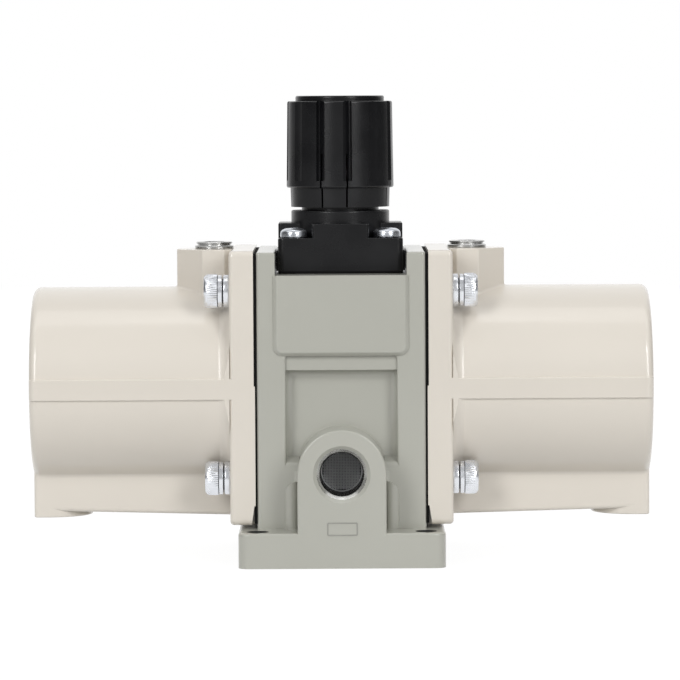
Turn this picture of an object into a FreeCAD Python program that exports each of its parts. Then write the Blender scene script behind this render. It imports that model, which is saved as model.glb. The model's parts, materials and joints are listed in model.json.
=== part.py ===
import FreeCAD, Part
import math
import os

V = FreeCAD.Vector

# Frame: +X along the barrels, -Y towards the inlet port, +Z up, origin under the middle of the base plate

# Clearances
slip = 0.05          # radial play of a sliding or turning fit
seat_play = 0.02     # radial play of a piece that is pressed or bonded into its seat

# Base plate
base_x = 53.0
base_y = 76.0
base_h = 9.0
base_corner_r = 3.0
base_edge_r = 0.7
mount_pitch_x = 43.0
mount_pitch_y = 66.0
mount_hole_r = 2.75

# Cast body
block_x = 43.5
block_y = 52.0
block_corner_r = 0.9
block_edge_r = 0.6
saddle_x = 33.9
saddle_rise = 29.3      # from the barrels' axis up to the saddle's floor
cheek_h = 5.9
pad_x = 34.8
pad_h = 20.7
pad_proud = 1.2
pad_corner_r = 2.4
pad_draft = 0.9
pad_edge_r = 0.8
step_h = 3.7
step_depth = 1.0
pocket_x = 28.6
pocket_depth = 4.5
pocket_edge_r = 1.8
step_corner_r = 0.8
web_top_z = 25.9        # the webs beside the port boss, at the block's face
web_slope = 1.6
web_edge_r = 1.5
web_flare_r = 1.0
column_r = 1.7
column_h = 8.9

# Ports in the body
port_z = 24.0
port_r = 5.72
port_depth = 11.25
port_chamfer = 1.6
boss_r = 11.35
boss_root = 0.35
boss_edge_r = 0.5
screen_r = 5.4
screen_t = 0.4
screen_seat = 0.45
passage_r = 4.0
exhaust_drop = 10.3     # from the saddle's floor down to the exhaust port's axis
exhaust_depth = 11.0
exhaust_skin = 1.5

# Cylinder covers
axis_z = 45.0
half_span = 80.45
gasket_t = 0.75
gasket_inset = 0.4
flange_t = 6.25
flange_y = 52.0
flange_bottom_z = 9.95
flange_rise = 0.4       # how far the flange stands above the block
flange_corner_r = 1.5
lip_x = 0.3             # the lip that hides the lower half of the gasket's front edge
lip_y = 0.33
lip_rise = 0.8
notch_x = 0.75           # the wedge-shaped notches for prying the cover off, at its lower corners
notch_y = 3.0
notch_h = 5.0
flange_edge_r = 1.0
bore_r = 22.0
barrel_wall = 3.5
end_wall = 4.0
barrel_end_r = 2.0
barrel_root_r = 2.2
strip_h = 5.5
strip_edge_r = 0.35
skirt_y = 22.0
skirt_bottom_z = 11.1   # at the flange, from where the skirt's bottom rises outwards
skirt_slope = 0.026
skirt_edge_r = 1.0
skirt_join_r = 1.5
foot_z = 10.8
foot_reach = 14.9
foot_edge_r = 0.4
skirt_end_gap = 0.2
air_way_r = 2.0
air_way_z = 17.0

# Gauge ports and their plugs
gauge_x = 33.1
gauge_boss_half = 9.7
gauge_boss_flat = 2.85
gauge_boss_drop = 0.2
gauge_edge_r = 0.5
gauge_join_r = 0.8
gauge_r = 4.6
plug_h = 8.0
plug_proud = 1.85
plug_rim_r = 5.0
plug_rim_h = 0.7
plug_hex = 5.0
plug_hex_depth = 4.0

# Cover screws
screw_y = 20.0
screw_dz = 24.2
screw_rise = 0.9        # the screws' middle above the barrels' axis
screw_r = 2.5
screw_hole_play = 0.25
screw_head_r = 4.36
screw_head_h = 5.0
screw_hex = 4.0
screw_hex_depth = 2.5
screw_grip = 6.0
screw_tip_gap = 0.45
washer_t = 1.55
washer_split = 0.9

# Governor bonnet
bonnet_x = 32.4
bonnet_y = 33.0
bonnet_corner_r = 1.6
bonnet_flange_h = 8.5
bonnet_lip = 0.6
bonnet_lip_inset = 1.4
bonnet_lip_h = 5.4
bonnet_arm = 14.8
bonnet_arm_h = 3.7
bonnet_edge_r = 0.4
collar_r = 12.85
collar_h = 3.2
neck_r = 10.1
neck_h = 9.0
neck_groove_depth = 0.45
neck_bore_r = 7.8
neck_roof_t = 2.6
cap_screw_pitch = 24.2
cap_screw_r = 2.0
cap_screw_head_r = 3.5
cap_screw_head_h = 2.2
cap_screw_grip = 8.0

# Knob
knob_gap = 0.9
skirt_r = 12.85         # the knob's skirt and grip: radius at the bottom and at the top
skirt_top_r = 13.05
skirt_h = 5.0
grip_r = 14.03
grip_top_r = 13.72
grip_h = 22.6
grip_edge_r = 0.5
knob_tongues = 4
tongue_turn = -96.6      # the front tongue's angle about Z, from +X
groove_start = 10.0      # the groove's angles from the tongue's middle
groove_floor = 17.5
groove_end = 19.7
groove_depth = 1.15
groove_land = 1.9
flute_r = 8.0
flute_depth = 0.2
slit_turn = 14.4
slit_w = 0.5
slit_h = 13.9
cap_r = 11.6
cap_h = 1.4
cap_boss_r = 8.5
cap_boss_h = 4.0
knob_roof_gap = 1.6

# Adjusting screw, nut and setting spring
drive_hex = 6.8
drive_h = 10.5
journal_r = 4.0
thrust_r = 6.2
thrust_t = 1.6
thread_r = 2.5
nut_t = 4.0
nut_top_gap = 0.4
nut_key_w = 3.0
nut_key_depth = 0.8
nut_travel = 6.0
spring_wire = 1.5
spring_turns = 4.5
spring_r = 5.6
coil_steps = 12

# Diaphragm and governor valve
diaphragm_t = 0.7
plate_r = 7.2
plate_t = 1.4
plate_rim_h = 1.2
shank_r = 2.0
retainer_t = 1.2
cavity_r = 10.2
cavity_gap = 0.8
stem_r = 1.0
governor_lift = 1.0
seat_r = 6.0
seat_h = 4.6
seat_bore_r = 2.2
seat_ring_wire = 1.0
poppet_r = 3.6
poppet_t = 2.6
poppet_tail_r = 1.4
poppet_tail_h = 3.4
poppet_bore_r = 4.2
poppet_spring_wire = 0.5
poppet_spring_turns = 4.5
poppet_spring_h = 7.5

# Piston rod, bush and seals
rod_r = 5.0
rod_end_r = 4.0
bush_r = 8.0
bush_half = 17.4
rod_seal_t = 3.0
retainer_ring_t = 0.9
piston_t = 9.0
piston_mid_x = 47.5
piston_seal_w = 3.2
piston_seal_depth = 2.6
wear_ring_w = 2.6
wear_ring_depth = 1.3
piston_land = 1.1
nut_hex = 13.0
nut_h = 4.0

# Switching valve
spool_drop = 17.0        # from the barrels' axis down to the spool's
sleeve_r = 6.0
sleeve_half = 17.2
spool_r = 3.5
spool_half = 15.0
spool_waist_r = 2.3
spool_waist_w = 3.4
spool_pitch = 5.0
sleeve_port_r = 0.8
sleeve_ring_wire = 1.0
pusher_r = 2.0
pusher_proud = 0.95

# Check valves
check_y = 12.0
check_drop = 12.0        # from the barrels' axis down to the check valves'
check_seat_r = 5.6
check_seat_t = 3.0
check_recess_r = 4.8
check_recess_depth = 1.6
check_head_r = 4.2
check_head_t = 1.0
check_stem_r = 1.15
check_bulb_r = 1.7
check_bulb_h = 1.4
check_hole_r = 0.8
check_holes = 6
check_hole_ring_r = 3.0

# Derived sizes
saddle_z = axis_z + saddle_rise
block_top_z = saddle_z + cheek_h
flange_top_z = block_top_z + flange_rise
exhaust_z = saddle_z - exhaust_drop
screw_mid_z = axis_z + screw_rise
spool_z = axis_z - spool_drop
check_z = axis_z - check_drop
block_half = block_x / 2
face_y = block_y / 2
front_y = base_y / 2
barrel_r = bore_r + barrel_wall
cover_x = block_half + gasket_t
flange_x = cover_x + flange_t
head_x = flange_x + washer_t
bore_end_x = half_span - end_wall
screw_half = screw_tip_gap + screw_grip
bonnet_z = saddle_z + diaphragm_t
shoulder_z = bonnet_z + bonnet_flange_h
collar_z = shoulder_z + bonnet_arm_h
collar_top_z = collar_z + collar_h
neck_top_z = collar_top_z + neck_h
knob_z = collar_top_z + knob_gap
grip_z = knob_z + skirt_h
knob_top_z = grip_z + grip_h
thrust_top_z = neck_top_z - neck_roof_t - slip
thread_top_z = thrust_top_z - thrust_t
nut_top_z = thread_top_z - nut_top_gap
thread_h = nut_top_gap + nut_t + nut_travel + spring_wire
nut_z = nut_top_z - nut_t
plate_top_z = bonnet_z + plate_t
cavity_z = saddle_z - retainer_t - governor_lift - cavity_gap
retainer_z = saddle_z - retainer_t
seat_z = cavity_z - seat_h
poppet_z = seat_z - poppet_t
valve_floor_z = poppet_z - poppet_spring_h
check_web_x = block_half - check_recess_depth


def box(x0, x1, y0, y1, z0, z1):
    return Part.makeBox(x1 - x0, y1 - y0, z1 - z0, V(x0, y0, z0))


def rod(radius, start, end):
    along = end.sub(start)
    return Part.makeCylinder(radius, along.Length, start, along)


def upright(radius, z0, z1, x=0.0, y=0.0):
    return rod(radius, V(x, y, z0), V(x, y, z1))


def level(radius, x0, x1, y=0.0, z=0.0):
    return rod(radius, V(x0, y, z), V(x1, y, z))


def fused(shapes):
    first = shapes[0]
    return first.fuse(shapes[1:]).removeSplitter()


def mirrored(shape):
    return shape.mirror(V(0, 0, 0), V(1, 0, 0))


def both_sides(shape):
    return [shape, mirrored(shape)]


def turned_about_z(shape):
    return shape.copy().rotated(V(0, 0, 0), V(0, 0, 1), 180)


def revolved_x(points, z):
    """A solid of revolution about the line through height z along X; points are (x, radius)."""
    wire = Part.makePolygon([V(x, 0, z + r) for x, r in points] + [V(points[0][0], 0, z + points[0][1])])
    return Part.Face(wire).revolve(V(0, 0, z), V(1, 0, 0), 360)


def hexagon(across_flats, base, along):
    """A hexagonal bar that starts at base and runs along the vector."""
    radius = across_flats / math.sqrt(3)
    side = V(0, 1, 0)
    up = along.cross(side).normalize()
    turns = [math.radians(60 * step) for step in range(7)]
    points = [base.add(side * (radius * math.sin(a))).add(up * (radius * math.cos(a))) for a in turns]
    return Part.Face(Part.makePolygon(points)).extrude(along)


def slab(half_x, half_y, corner_r, z0, z1):
    """A rounded rectangle standing from z0 to z1."""
    block = box(-half_x, half_x, -half_y, half_y, z0, z1)
    return block.makeFillet(corner_r, edges_along(block, V(0, 0, 1)))


def rounded_top(shape, radius):
    top = shape.BoundBox.ZMax - 1e-3
    return shape.makeFillet(radius, [edge for edge in shape.Edges if edge.BoundBox.ZMin > top])


def edges_along(shape, direction):
    found = []
    for edge in shape.Edges:
        if isinstance(edge.Curve, Part.Line) and edge.Curve.Direction.cross(direction).Length < 1e-6:
            found.append(edge)
    return found


def edges_inside(shape, low, high):
    """The edges that lie wholly inside the box from low to high."""
    grown = FreeCAD.BoundBox(low.x, low.y, low.z, high.x, high.y, high.z)
    grown.enlarge(1e-3)
    return [edge for edge in shape.Edges if grown.isInside(edge.BoundBox)]


def coil(mean_r, wire, turns, z0, z1):
    """A helical spring with its ends resting between z0 and z1."""
    height = z1 - z0 - wire
    points = []
    steps = int(turns * coil_steps)
    for step in range(steps + 1):
        angle = 2 * math.pi * turns * step / steps
        level_z = z0 + wire / 2 + height * step / steps
        points.append(V(mean_r * math.cos(angle), mean_r * math.sin(angle), level_z))
    path = Part.BSplineCurve()
    path.interpolate(points)
    along = V(0, 2 * math.pi * mean_r, height / turns)
    circle = Part.Wire(Part.makeCircle(wire / 2, points[0], along))
    return Part.Wire(path.toShape()).makePipeShell([circle], True, True)


def ring(mean_r, wire, centre, along):
    return Part.makeTorus(mean_r, wire / 2, centre, along)


def screw_places():
    """Height and depth of the cover screws' axes."""
    return [(sy * screw_y, screw_mid_z + sz * screw_dz) for sy in (-1, 1) for sz in (-1, 1)]


def bonnet_screw_places():
    half = cap_screw_pitch / 2
    return [(sx * half, sy * half) for sx in (-1, 1) for sy in (-1, 1)]


# Cast body
def base_plate():
    plate = slab(base_x / 2, front_y, base_corner_r, 0, base_h)
    top = edges_inside(plate, V(-base_x, -base_y, base_h), V(base_x, base_y, base_h))
    plate = plate.makeFillet(base_edge_r, top)
    for sx in (-1, 1):
        for sy in (-1, 1):
            hole = upright(mount_hole_r, -1, base_h + 1, sx * mount_pitch_x / 2, sy * mount_pitch_y / 2)
            plate = plate.cut(hole)
    return plate


def block():
    """The block with its saddle and its two pockets, with the casting's soft edges."""
    solid = box(-block_half, block_half, -face_y, face_y, base_h / 2, block_top_z)
    saddle = box(-saddle_x / 2, saddle_x / 2, -face_y - 1, face_y + 1, saddle_z, block_top_z + 1)
    pocket = front_pocket()
    solid = solid.cut([saddle, pocket, turned_about_z(pocket)])
    corners = [edge for edge in edges_along(solid, V(0, 0, 1))
               if max(abs(edge.BoundBox.XMin), abs(edge.BoundBox.XMax)) > block_half - 1e-3]
    solid = solid.makeFillet(block_corner_r, corners)
    top = edges_inside(solid, V(-block_half, -face_y, block_top_z), V(block_half, face_y, block_top_z))
    solid = solid.makeFillet(block_edge_r, top)
    mouths = []
    for y in (-face_y, face_y):
        mouths += edges_inside(solid, V(-pocket_x / 2, y, 0), V(pocket_x / 2, y, saddle_z - pad_h))
    return solid.makeFillet(block_edge_r, mouths)


def front_pocket():
    """What is hollowed from the front of the block, between its two side frames."""
    top = saddle_z - pad_h - step_h
    deep = box(-pocket_x / 2, pocket_x / 2, -face_y - 1, -face_y + pocket_depth, base_h, top)
    inner = edges_inside(deep, V(-pocket_x, -face_y, base_h), V(pocket_x, 0, top))
    deep = deep.makeFillet(pocket_edge_r, inner)
    shallow = box(-pocket_x / 2, pocket_x / 2, -face_y - 1, -face_y + step_depth, base_h, top + step_h)
    corners = [edge for edge in edges_along(shallow, V(0, 1, 0)) if edge.BoundBox.ZMin > top]
    return deep.fuse(shallow.makeFillet(step_corner_r, corners))


def front_pad():
    """The raised pad under the saddle, drafted on its sides and lower edge."""
    half = pad_x / 2
    low = saddle_z - pad_h
    pad = box(-half, half, -face_y - pad_proud, -face_y + step_depth, low, saddle_z)
    pad = pad.makeFillet(pad_corner_r, edges_inside(pad, V(-half, -base_y, low), V(-half, 0, low))
                         + edges_inside(pad, V(half, -base_y, low), V(half, 0, low)))
    rim_y = -face_y - pad_proud
    pad = pad.makeChamfer(pad_draft, pad_rim(pad, rim_y))
    return pad.makeFillet(pad_edge_r, pad_rim(pad, rim_y))


def pad_rim(pad, rim_y):
    """The pad's side and lower edges in the plane of its face."""
    half = pad_x / 2
    face = edges_inside(pad, V(-half, rim_y, 0), V(half, rim_y, saddle_z))
    return [edge for edge in face if edge.BoundBox.ZMin < saddle_z - 1e-3]


def front_boss():
    """The port boss, flush with the base plate's front edge, on a raised ring."""
    root = -face_y + pocket_depth
    round_end = rod(boss_r, V(0, root + 1, port_z), V(0, -front_y, port_z))
    legs = box(-boss_r, boss_r, -front_y, root + 1, base_h / 2, port_z)
    ring_r = boss_r + boss_root
    root_ring = Part.makeCone(ring_r, boss_r, boss_root, V(0, root, port_z), V(0, -1, 0))
    section = [V(-ring_r, root, 0), V(-boss_r, root - boss_root, 0), V(boss_r, root - boss_root, 0),
               V(ring_r, root, 0)]
    slope = Part.Face(Part.makePolygon(section + section[:1])).extrude(V(0, 0, port_z - base_h / 2))
    slope.translate(V(0, 0, base_h / 2))
    boss = fused([round_end, legs, root_ring, slope])
    rim = edges_inside(boss, V(-boss_r, -front_y, base_h / 2), V(boss_r, -front_y, port_z + boss_r))
    return boss.makeFillet(boss_edge_r, [edge for edge in rim if edge.BoundBox.ZMax > base_h])


def front_webs():
    """The webs that fill the pocket beside the boss, and the half-round columns in front of them."""
    shapes = []
    face = -face_y
    root = face + pocket_depth
    low = base_h / 2
    for side in (-1, 1):
        inner_x = side * (boss_r - boss_root)
        outer_x = side * (pocket_x / 2 + 2 * block_edge_r)
        outline = [(face, low), (face, web_top_z), (root, web_top_z + web_slope),
                   (root + 1, web_top_z + web_slope), (root + 1, low), (face, low)]
        web = Part.Face(Part.makePolygon([V(inner_x, y, z) for y, z in outline]))
        web = web.extrude(V(outer_x - inner_x, 0, 0))
        brow = edges_inside(web, V(-base_x, face, web_top_z), V(base_x, face, web_top_z))
        shapes.append(web.makeFillet(web_edge_r, brow))
        column = upright(column_r, low, base_h + column_h + 2 * column_r, side * (boss_r + column_r), face)
        shoulder = rod(2 * column_r, V(side * boss_r, face - 2 * column_r, base_h + column_h),
                       V(side * boss_r, face + 2 * column_r, base_h + column_h))
        below = box(-base_x, base_x, face - 2 * column_r, face + 2 * column_r, low, base_h + column_h)
        shapes.append(column.common(shoulder.fuse(below)))
        shapes.append(web_flare(side))
    return shapes


def web_flare(side):
    """The hollow fillet between the boss's flank and the web."""
    x0, x1 = side * boss_r, side * (boss_r + web_flare_r)
    y0, y1 = -face_y - web_flare_r, -face_y
    bend = 1 - math.sqrt(0.5)
    arc = Part.Arc(V(x0, y0, 0), V(x0 + bend * (x1 - x0), y1 + bend * (y0 - y1), 0), V(x1, y1, 0)).toShape()
    inner_x = x0 - side * boss_root
    corners = [(x1, y1), (x1, y1 + 1), (inner_x, y1 + 1), (inner_x, y0), (x0, y0)]
    lines = Part.makePolygon([V(x, y, 0) for x, y in corners])
    flare = Part.Face(Part.Wire([arc] + lines.Edges)).extrude(V(0, 0, port_z - base_h / 2))
    flare.translate(V(0, 0, base_h / 2))
    return flare


def front_shapes():
    return [front_pad(), front_boss()] + front_webs()


def port_hole(z, mouth_y, depth):
    """A port's threaded bore with its chamfer, cut from the front face inwards."""
    mouth = V(0, -mouth_y, z)
    bore = rod(port_r, mouth, V(0, -mouth_y + depth, z))
    cone = Part.makeCone(port_r + port_chamfer, port_r, port_chamfer, mouth, V(0, 1, 0))
    return bore.fuse(cone)


def air_passages():
    """Drilled ways between the ports, the check valves, the governor and the switching valve."""
    inner = front_y - port_depth
    shapes = [rod(screen_r, V(0, -inner - 1, port_z), V(0, screen_seat - inner, port_z))]
    for side in (-1, 1):
        shapes.append(rod(passage_r, V(0, side * (inner + 1), port_z), V(0, side * check_y, port_z)))
        shapes.append(upright(passage_r, port_z, check_z, 0, side * check_y))
        shapes.append(level(passage_r, -block_half, block_half, side * check_y, check_z))
        seat_x0, seat_x1 = side * (block_half - check_seat_t), side * (block_half + 1)
        shapes.append(level(check_seat_r, seat_x0, seat_x1, -check_y, check_z))
        shapes.append(level(check_seat_r, seat_x0, seat_x1, check_y, check_z))
    feed_y = -check_y - 1
    feed_r = passage_r / 2
    feed_z = (seat_z + valve_floor_z) / 2
    shapes.append(upright(feed_r, check_z, feed_z, 0, feed_y))
    shapes.append(rod(feed_r, V(0, feed_y, feed_z), V(0, 0, feed_z)))
    drive_y = cavity_r - 2 * sleeve_port_r
    shapes.append(upright(sleeve_port_r, spool_z, cavity_z + 1, 0, drive_y))
    shapes.append(rod(sleeve_port_r, V(0, drive_y, spool_z), V(0, 0, spool_z)))
    return shapes


def exhaust_passages():
    """The way from the switching valve up to the exhaust port at the back."""
    x = 2 * spool_pitch
    r = 2 * sleeve_port_r
    y = face_y - pocket_depth - r - exhaust_skin
    return [rod(r, V(x, 0, spool_z), V(x, y, spool_z)), upright(r, spool_z, exhaust_z, x, y),
            rod(r, V(0, y, exhaust_z), V(x, y, exhaust_z))]


def body_bores():
    shapes = [level(bush_r, -block_half - 1, block_half + 1, 0, axis_z),
              level(sleeve_r, -block_half - 1, block_half + 1, 0, spool_z),
              upright(cavity_r, cavity_z, saddle_z + 1),
              upright(seat_r, seat_z, cavity_z + 1),
              upright(poppet_bore_r, valve_floor_z, cavity_z)]
    for y, z in screw_places():
        for side in (-1, 1):
            shapes.append(level(screw_r, side * (block_half - screw_half), side * (block_half + 1), y, z))
    for x, y in bonnet_screw_places():
        shapes.append(upright(cap_screw_r, saddle_z - cap_screw_grip - screw_tip_gap, saddle_z + 1, x, y))
    for side in (-1, 1):
        shapes.append(level(air_way_r, side * sleeve_half * 0.5, side * (block_half + 1), 0, air_way_z))
        shapes.append(upright(sleeve_port_r, air_way_z, spool_z, side * 2 * spool_pitch))
    return shapes


def body():
    shapes = front_shapes()
    casting = fused([block(), base_plate()] + shapes + [turned_about_z(shape) for shape in shapes])
    ports = [port_hole(port_z, front_y, port_depth), turned_about_z(port_hole(port_z, front_y, port_depth)),
             turned_about_z(port_hole(exhaust_z, face_y + pad_proud, exhaust_depth))]
    return casting.cut(ports + air_passages() + exhaust_passages() + body_bores())


def inlet_screen():
    y = -front_y + port_depth + screen_seat
    return rod(screen_r - seat_play, V(0, y - screen_t, port_z), V(0, y, port_z))


# Cylinder covers, drawn on the right and mirrored for the left
def flange():
    plate = box(cover_x, flange_x, -flange_y / 2, flange_y / 2, flange_bottom_z, flange_top_z)
    plate = plate.makeFillet(flange_corner_r, edges_along(plate, V(1, 0, 0)))
    outer = edges_inside(plate, V(flange_x, -flange_y, 0), V(flange_x, flange_y, flange_top_z))
    plate = plate.makeFillet(flange_edge_r, outer)
    half = flange_y / 2
    low = flange_bottom_z + notch_h
    lip = box(cover_x - lip_x, cover_x + 1, -half, lip_y - half, low, axis_z + lip_rise)
    outline = [(cover_x - 1, flange_bottom_z - 1), (cover_x + notch_x, flange_bottom_z - 1),
               (cover_x + notch_x, flange_bottom_z), (cover_x, low), (cover_x - 1, low)]
    wedge = [V(x, -half - 1, z) for x, z in outline]
    notch = Part.Face(Part.makePolygon(wedge + wedge[:1])).extrude(V(0, notch_y + 1, 0))
    to_back = (V(0, 0, 0), V(0, 1, 0))
    return plate.fuse([lip, lip.mirror(*to_back)]).cut([notch, notch.mirror(*to_back)])


def barrel():
    solid = level(barrel_r, cover_x, half_span, 0, axis_z)
    rim = edges_inside(solid, V(half_span, -flange_y, 0), V(half_span, flange_y, flange_top_z))
    return solid.makeFillet(barrel_end_r, rim)


def parting_strip():
    """The strip along the mould's parting line, as wide as the flange, wrapped round the barrel's end."""
    half = flange_y / 2
    strip = box(cover_x, half_span, -half, half, axis_z - strip_h / 2, axis_z + strip_h / 2)
    ends = [edge for edge in edges_along(strip, V(0, 0, 1)) if edge.BoundBox.XMin > half_span - 1e-3]
    strip = strip.makeFillet(barrel_end_r, ends)
    sides = [edge for edge in strip.Edges if edge.BoundBox.ZLength < 1e-3
             and edge.BoundBox.YLength <= barrel_end_r + 1e-3]
    return strip.makeFillet(strip_edge_r, sides)


def barrel_root():
    """The hollow flare where the barrel meets the flange, no wider than the flange."""
    x0, x1 = flange_x, flange_x + 2 * barrel_root_r
    z0, z1 = axis_z + barrel_r + barrel_root_r, axis_z + barrel_r
    bend = 1 - math.sqrt(0.5)
    arc = Part.Arc(V(x0, 0, z0), V(x0 + bend * (x1 - x0), 0, z1 + bend * (z0 - z1)), V(x1, 0, z1)).toShape()
    lines = Part.makePolygon([V(x1, 0, z1), V(x1, 0, axis_z), V(x0, 0, axis_z), V(x0, 0, z0)])
    section = Part.Face(Part.Wire([arc] + lines.Edges))
    flare = section.revolve(V(0, 0, axis_z), V(1, 0, 0), 360)
    return flare.common(box(x0, x1, -flange_y / 2, flange_y / 2, 0, flange_top_z))


def skirt():
    end_x = half_span - skirt_end_gap
    half = skirt_y / 2
    top_z = axis_z - barrel_wall
    rise = skirt_slope * (end_x - cover_x)
    side = [V(cover_x, -half, skirt_bottom_z), V(end_x, -half, skirt_bottom_z + rise), V(end_x, -half, top_z),
            V(cover_x, -half, top_z)]
    wall = Part.Face(Part.makePolygon(side + side[:1])).extrude(V(0, skirt_y, 0))
    wall = wall.makeFillet(skirt_edge_r, edges_along(wall, V(1, 0, skirt_slope)))
    heel_x = half_span - foot_reach + half
    foot_top_z = skirt_bottom_z + 3 * skirt_edge_r
    heel = upright(half, foot_z, foot_top_z, heel_x, 0).common(box(0, end_x, -half, half, foot_z, foot_top_z))
    foot = fused([heel, box(heel_x, end_x, -half, half, foot_z, foot_top_z)])
    foot = foot.makeFillet(skirt_edge_r, end_corners(foot, end_x))
    sole = [edge for edge in foot.Edges if edge.BoundBox.ZMax < foot_z + 1e-3]
    foot = foot.makeFillet(foot_edge_r, sole)
    return fused([wall.makeFillet(skirt_edge_r, end_corners(wall, end_x)), foot])


def end_corners(shape, end_x):
    return [edge for edge in edges_along(shape, V(0, 0, 1)) if edge.BoundBox.XMin > end_x - 1e-3]


def gauge_boss():
    half, flat = gauge_boss_half, gauge_boss_flat
    corners = [(half, -flat), (half, flat), (flat, half), (-flat, half), (-half, flat), (-half, -flat),
               (-flat, -half), (flat, -half)]
    points = [V(gauge_x + x, y, axis_z) for x, y in corners]
    top = flange_top_z - gauge_boss_drop
    boss = Part.Face(Part.makePolygon(points + [points[0]])).extrude(V(0, 0, top - axis_z))
    boss = boss.makeFillet(gauge_edge_r, edges_along(boss, V(0, 0, 1)))
    return rounded_top(boss, gauge_edge_r / 2)


def cover_inside():
    """The bore, the gauge port, the screw holes and the air way to the outer chamber."""
    shapes = [level(bore_r, cover_x - 1, bore_end_x, 0, axis_z),
              upright(gauge_r, axis_z, flange_top_z + 1, gauge_x),
              level(air_way_r, cover_x - 1, bore_end_x - air_way_r, 0, air_way_z),
              upright(air_way_r, air_way_z, axis_z, bore_end_x - air_way_r)]
    for y, z in screw_places():
        shapes.append(level(screw_r + screw_hole_play, cover_x - 1, flange_x + washer_t, y, z))
    return shapes


def screw_lands():
    """Clear room for the washers and heads where they sit beside the barrel's flare."""
    return [level(screw_head_r + seat_play, flange_x, head_x + screw_head_h, y, z) for y, z in screw_places()]


def right_cover():
    outside = fused([flange(), barrel(), parting_strip(), barrel_root(), skirt(), gauge_boss()])
    root_x = flange_x + barrel_root_r
    boss_join = edges_inside(outside, V(root_x, -gauge_boss_half, axis_z + bore_r),
                             V(gauge_x + gauge_boss_half, gauge_boss_half, axis_z + barrel_r))
    outside = outside.makeFillet(gauge_join_r, boss_join)
    skirt_join = edges_inside(outside, V(root_x, -skirt_y / 2, axis_z - barrel_r),
                              V(half_span - skirt_end_gap - skirt_edge_r, skirt_y / 2, axis_z - bore_r))
    outside = outside.makeFillet(skirt_join_r, skirt_join)
    return outside.cut(cover_inside() + screw_lands())


def right_gasket():
    half = flange_y / 2 - gasket_inset
    sheet = box(block_half, cover_x, -half, half, flange_bottom_z + gasket_inset, block_top_z - gasket_inset)
    holes = [level(bore_r, block_half - 1, cover_x + 1, 0, axis_z),
             level(air_way_r, block_half - 1, cover_x + 1, 0, air_way_z)]
    for y, z in screw_places():
        holes.append(level(screw_r + screw_hole_play, block_half - 1, cover_x + 1, y, z))
    return sheet.cut(holes)


def right_cover_screws():
    tip_x = block_half - screw_grip
    screws = []
    for y, z in screw_places():
        head = level(screw_head_r, head_x, head_x + screw_head_h, y, z)
        end_x = head_x + screw_head_h
        rim = edges_inside(head, V(end_x, -flange_y, 0), V(end_x, flange_y, flange_top_z))
        head = head.makeChamfer(screw_head_h / 12, rim)
        shank = level(screw_r - slip, tip_x, head_x, y, z)
        socket = hexagon(screw_hex, V(end_x, y, z), V(-screw_hex_depth, 0, 0))
        screws.append(fused([head, shank]).cut(socket))
    return screws


def right_spring_washers():
    washers = []
    for y, z in screw_places():
        disc = level(screw_head_r - 2 * slip, flange_x, head_x, y, z)
        hole = level(screw_r + slip, flange_x - 1, head_x + 1, y, z)
        split = box(flange_x - 1, head_x + 1, y, y + washer_split, z, z + screw_head_r + 1)
        washers.append(disc.cut([hole, split]))
    return washers


def right_gauge_plug():
    top = flange_top_z - gauge_boss_drop + plug_proud
    thread = upright(gauge_r - seat_play, top - plug_h, top - plug_rim_h - slip, gauge_x)
    seat = flange_top_z - gauge_boss_drop
    rim = Part.makeCone(plug_rim_r, gauge_r, top - seat, V(gauge_x, 0, seat), V(0, 0, 1))
    socket = hexagon(plug_hex, V(gauge_x, 0, top), V(0, 0, -plug_hex_depth))
    return fused([thread, rim]).cut(socket)


# Governor bonnet and its screws
def bonnet():
    half_x, half_y = bonnet_x / 2, bonnet_y / 2
    arm = bonnet_arm / 2
    lip_top = bonnet_z + bonnet_lip_h
    steps = [slab(half_x, half_y, bonnet_corner_r, bonnet_z, shoulder_z),
             slab(half_x + bonnet_lip, half_y - bonnet_lip_inset, bonnet_corner_r, bonnet_z, lip_top),
             slab(half_x, arm, bonnet_edge_r * 2, shoulder_z - 1, collar_z),
             slab(arm, half_y, bonnet_edge_r * 2, shoulder_z - 1, collar_z),
             upright(collar_r, shoulder_z - 1, collar_top_z), upright(neck_r, collar_z, neck_top_z)]
    solid = fused([rounded_top(step, bonnet_edge_r) for step in steps])
    bead = 2 * knob_gap
    groove_z = collar_top_z + bead
    groove = upright(neck_r + 1, groove_z, groove_z + 2 * bead).cut(
        upright(neck_r - neck_groove_depth, groove_z, groove_z + 2 * bead))
    cuts = [groove, upright(neck_bore_r, bonnet_z - 1, neck_top_z - neck_roof_t),
            upright(journal_r + slip, neck_top_z - neck_roof_t - 1, neck_top_z + 1)]
    for side in (-1, 1):
        reach = side * (neck_bore_r + nut_key_depth)
        cuts.append(box(min(0, reach), max(0, reach), -nut_key_w / 2, nut_key_w / 2,
                        bonnet_z - 1, neck_top_z - neck_roof_t))
    for x, y in bonnet_screw_places():
        cuts.append(upright(cap_screw_r + slip, bonnet_z - 1, shoulder_z + 1, x, y))
        cuts.append(upright(cap_screw_head_r + slip, shoulder_z, collar_z + 1, x, y))
    return solid.cut(cuts)


def bonnet_screws():
    screws = []
    for x, y in bonnet_screw_places():
        head = upright(cap_screw_head_r, shoulder_z, shoulder_z + cap_screw_head_h, x, y)
        head = rounded_top(head, cap_screw_head_h / 2)
        shank = upright(cap_screw_r - slip, saddle_z - cap_screw_grip, shoulder_z, x, y)
        slot_half = cap_screw_head_r / 2
        slot_w = cap_screw_head_r / 8
        slot_z = shoulder_z + cap_screw_head_h / 3
        cross = [box(x - slot_half, x + slot_half, y - slot_w, y + slot_w, slot_z, collar_z),
                 box(x - slot_w, x + slot_w, y - slot_half, y + slot_half, slot_z, collar_z)]
        screws.append(fused([head, shank]).cut(cross))
    return screws


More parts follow.
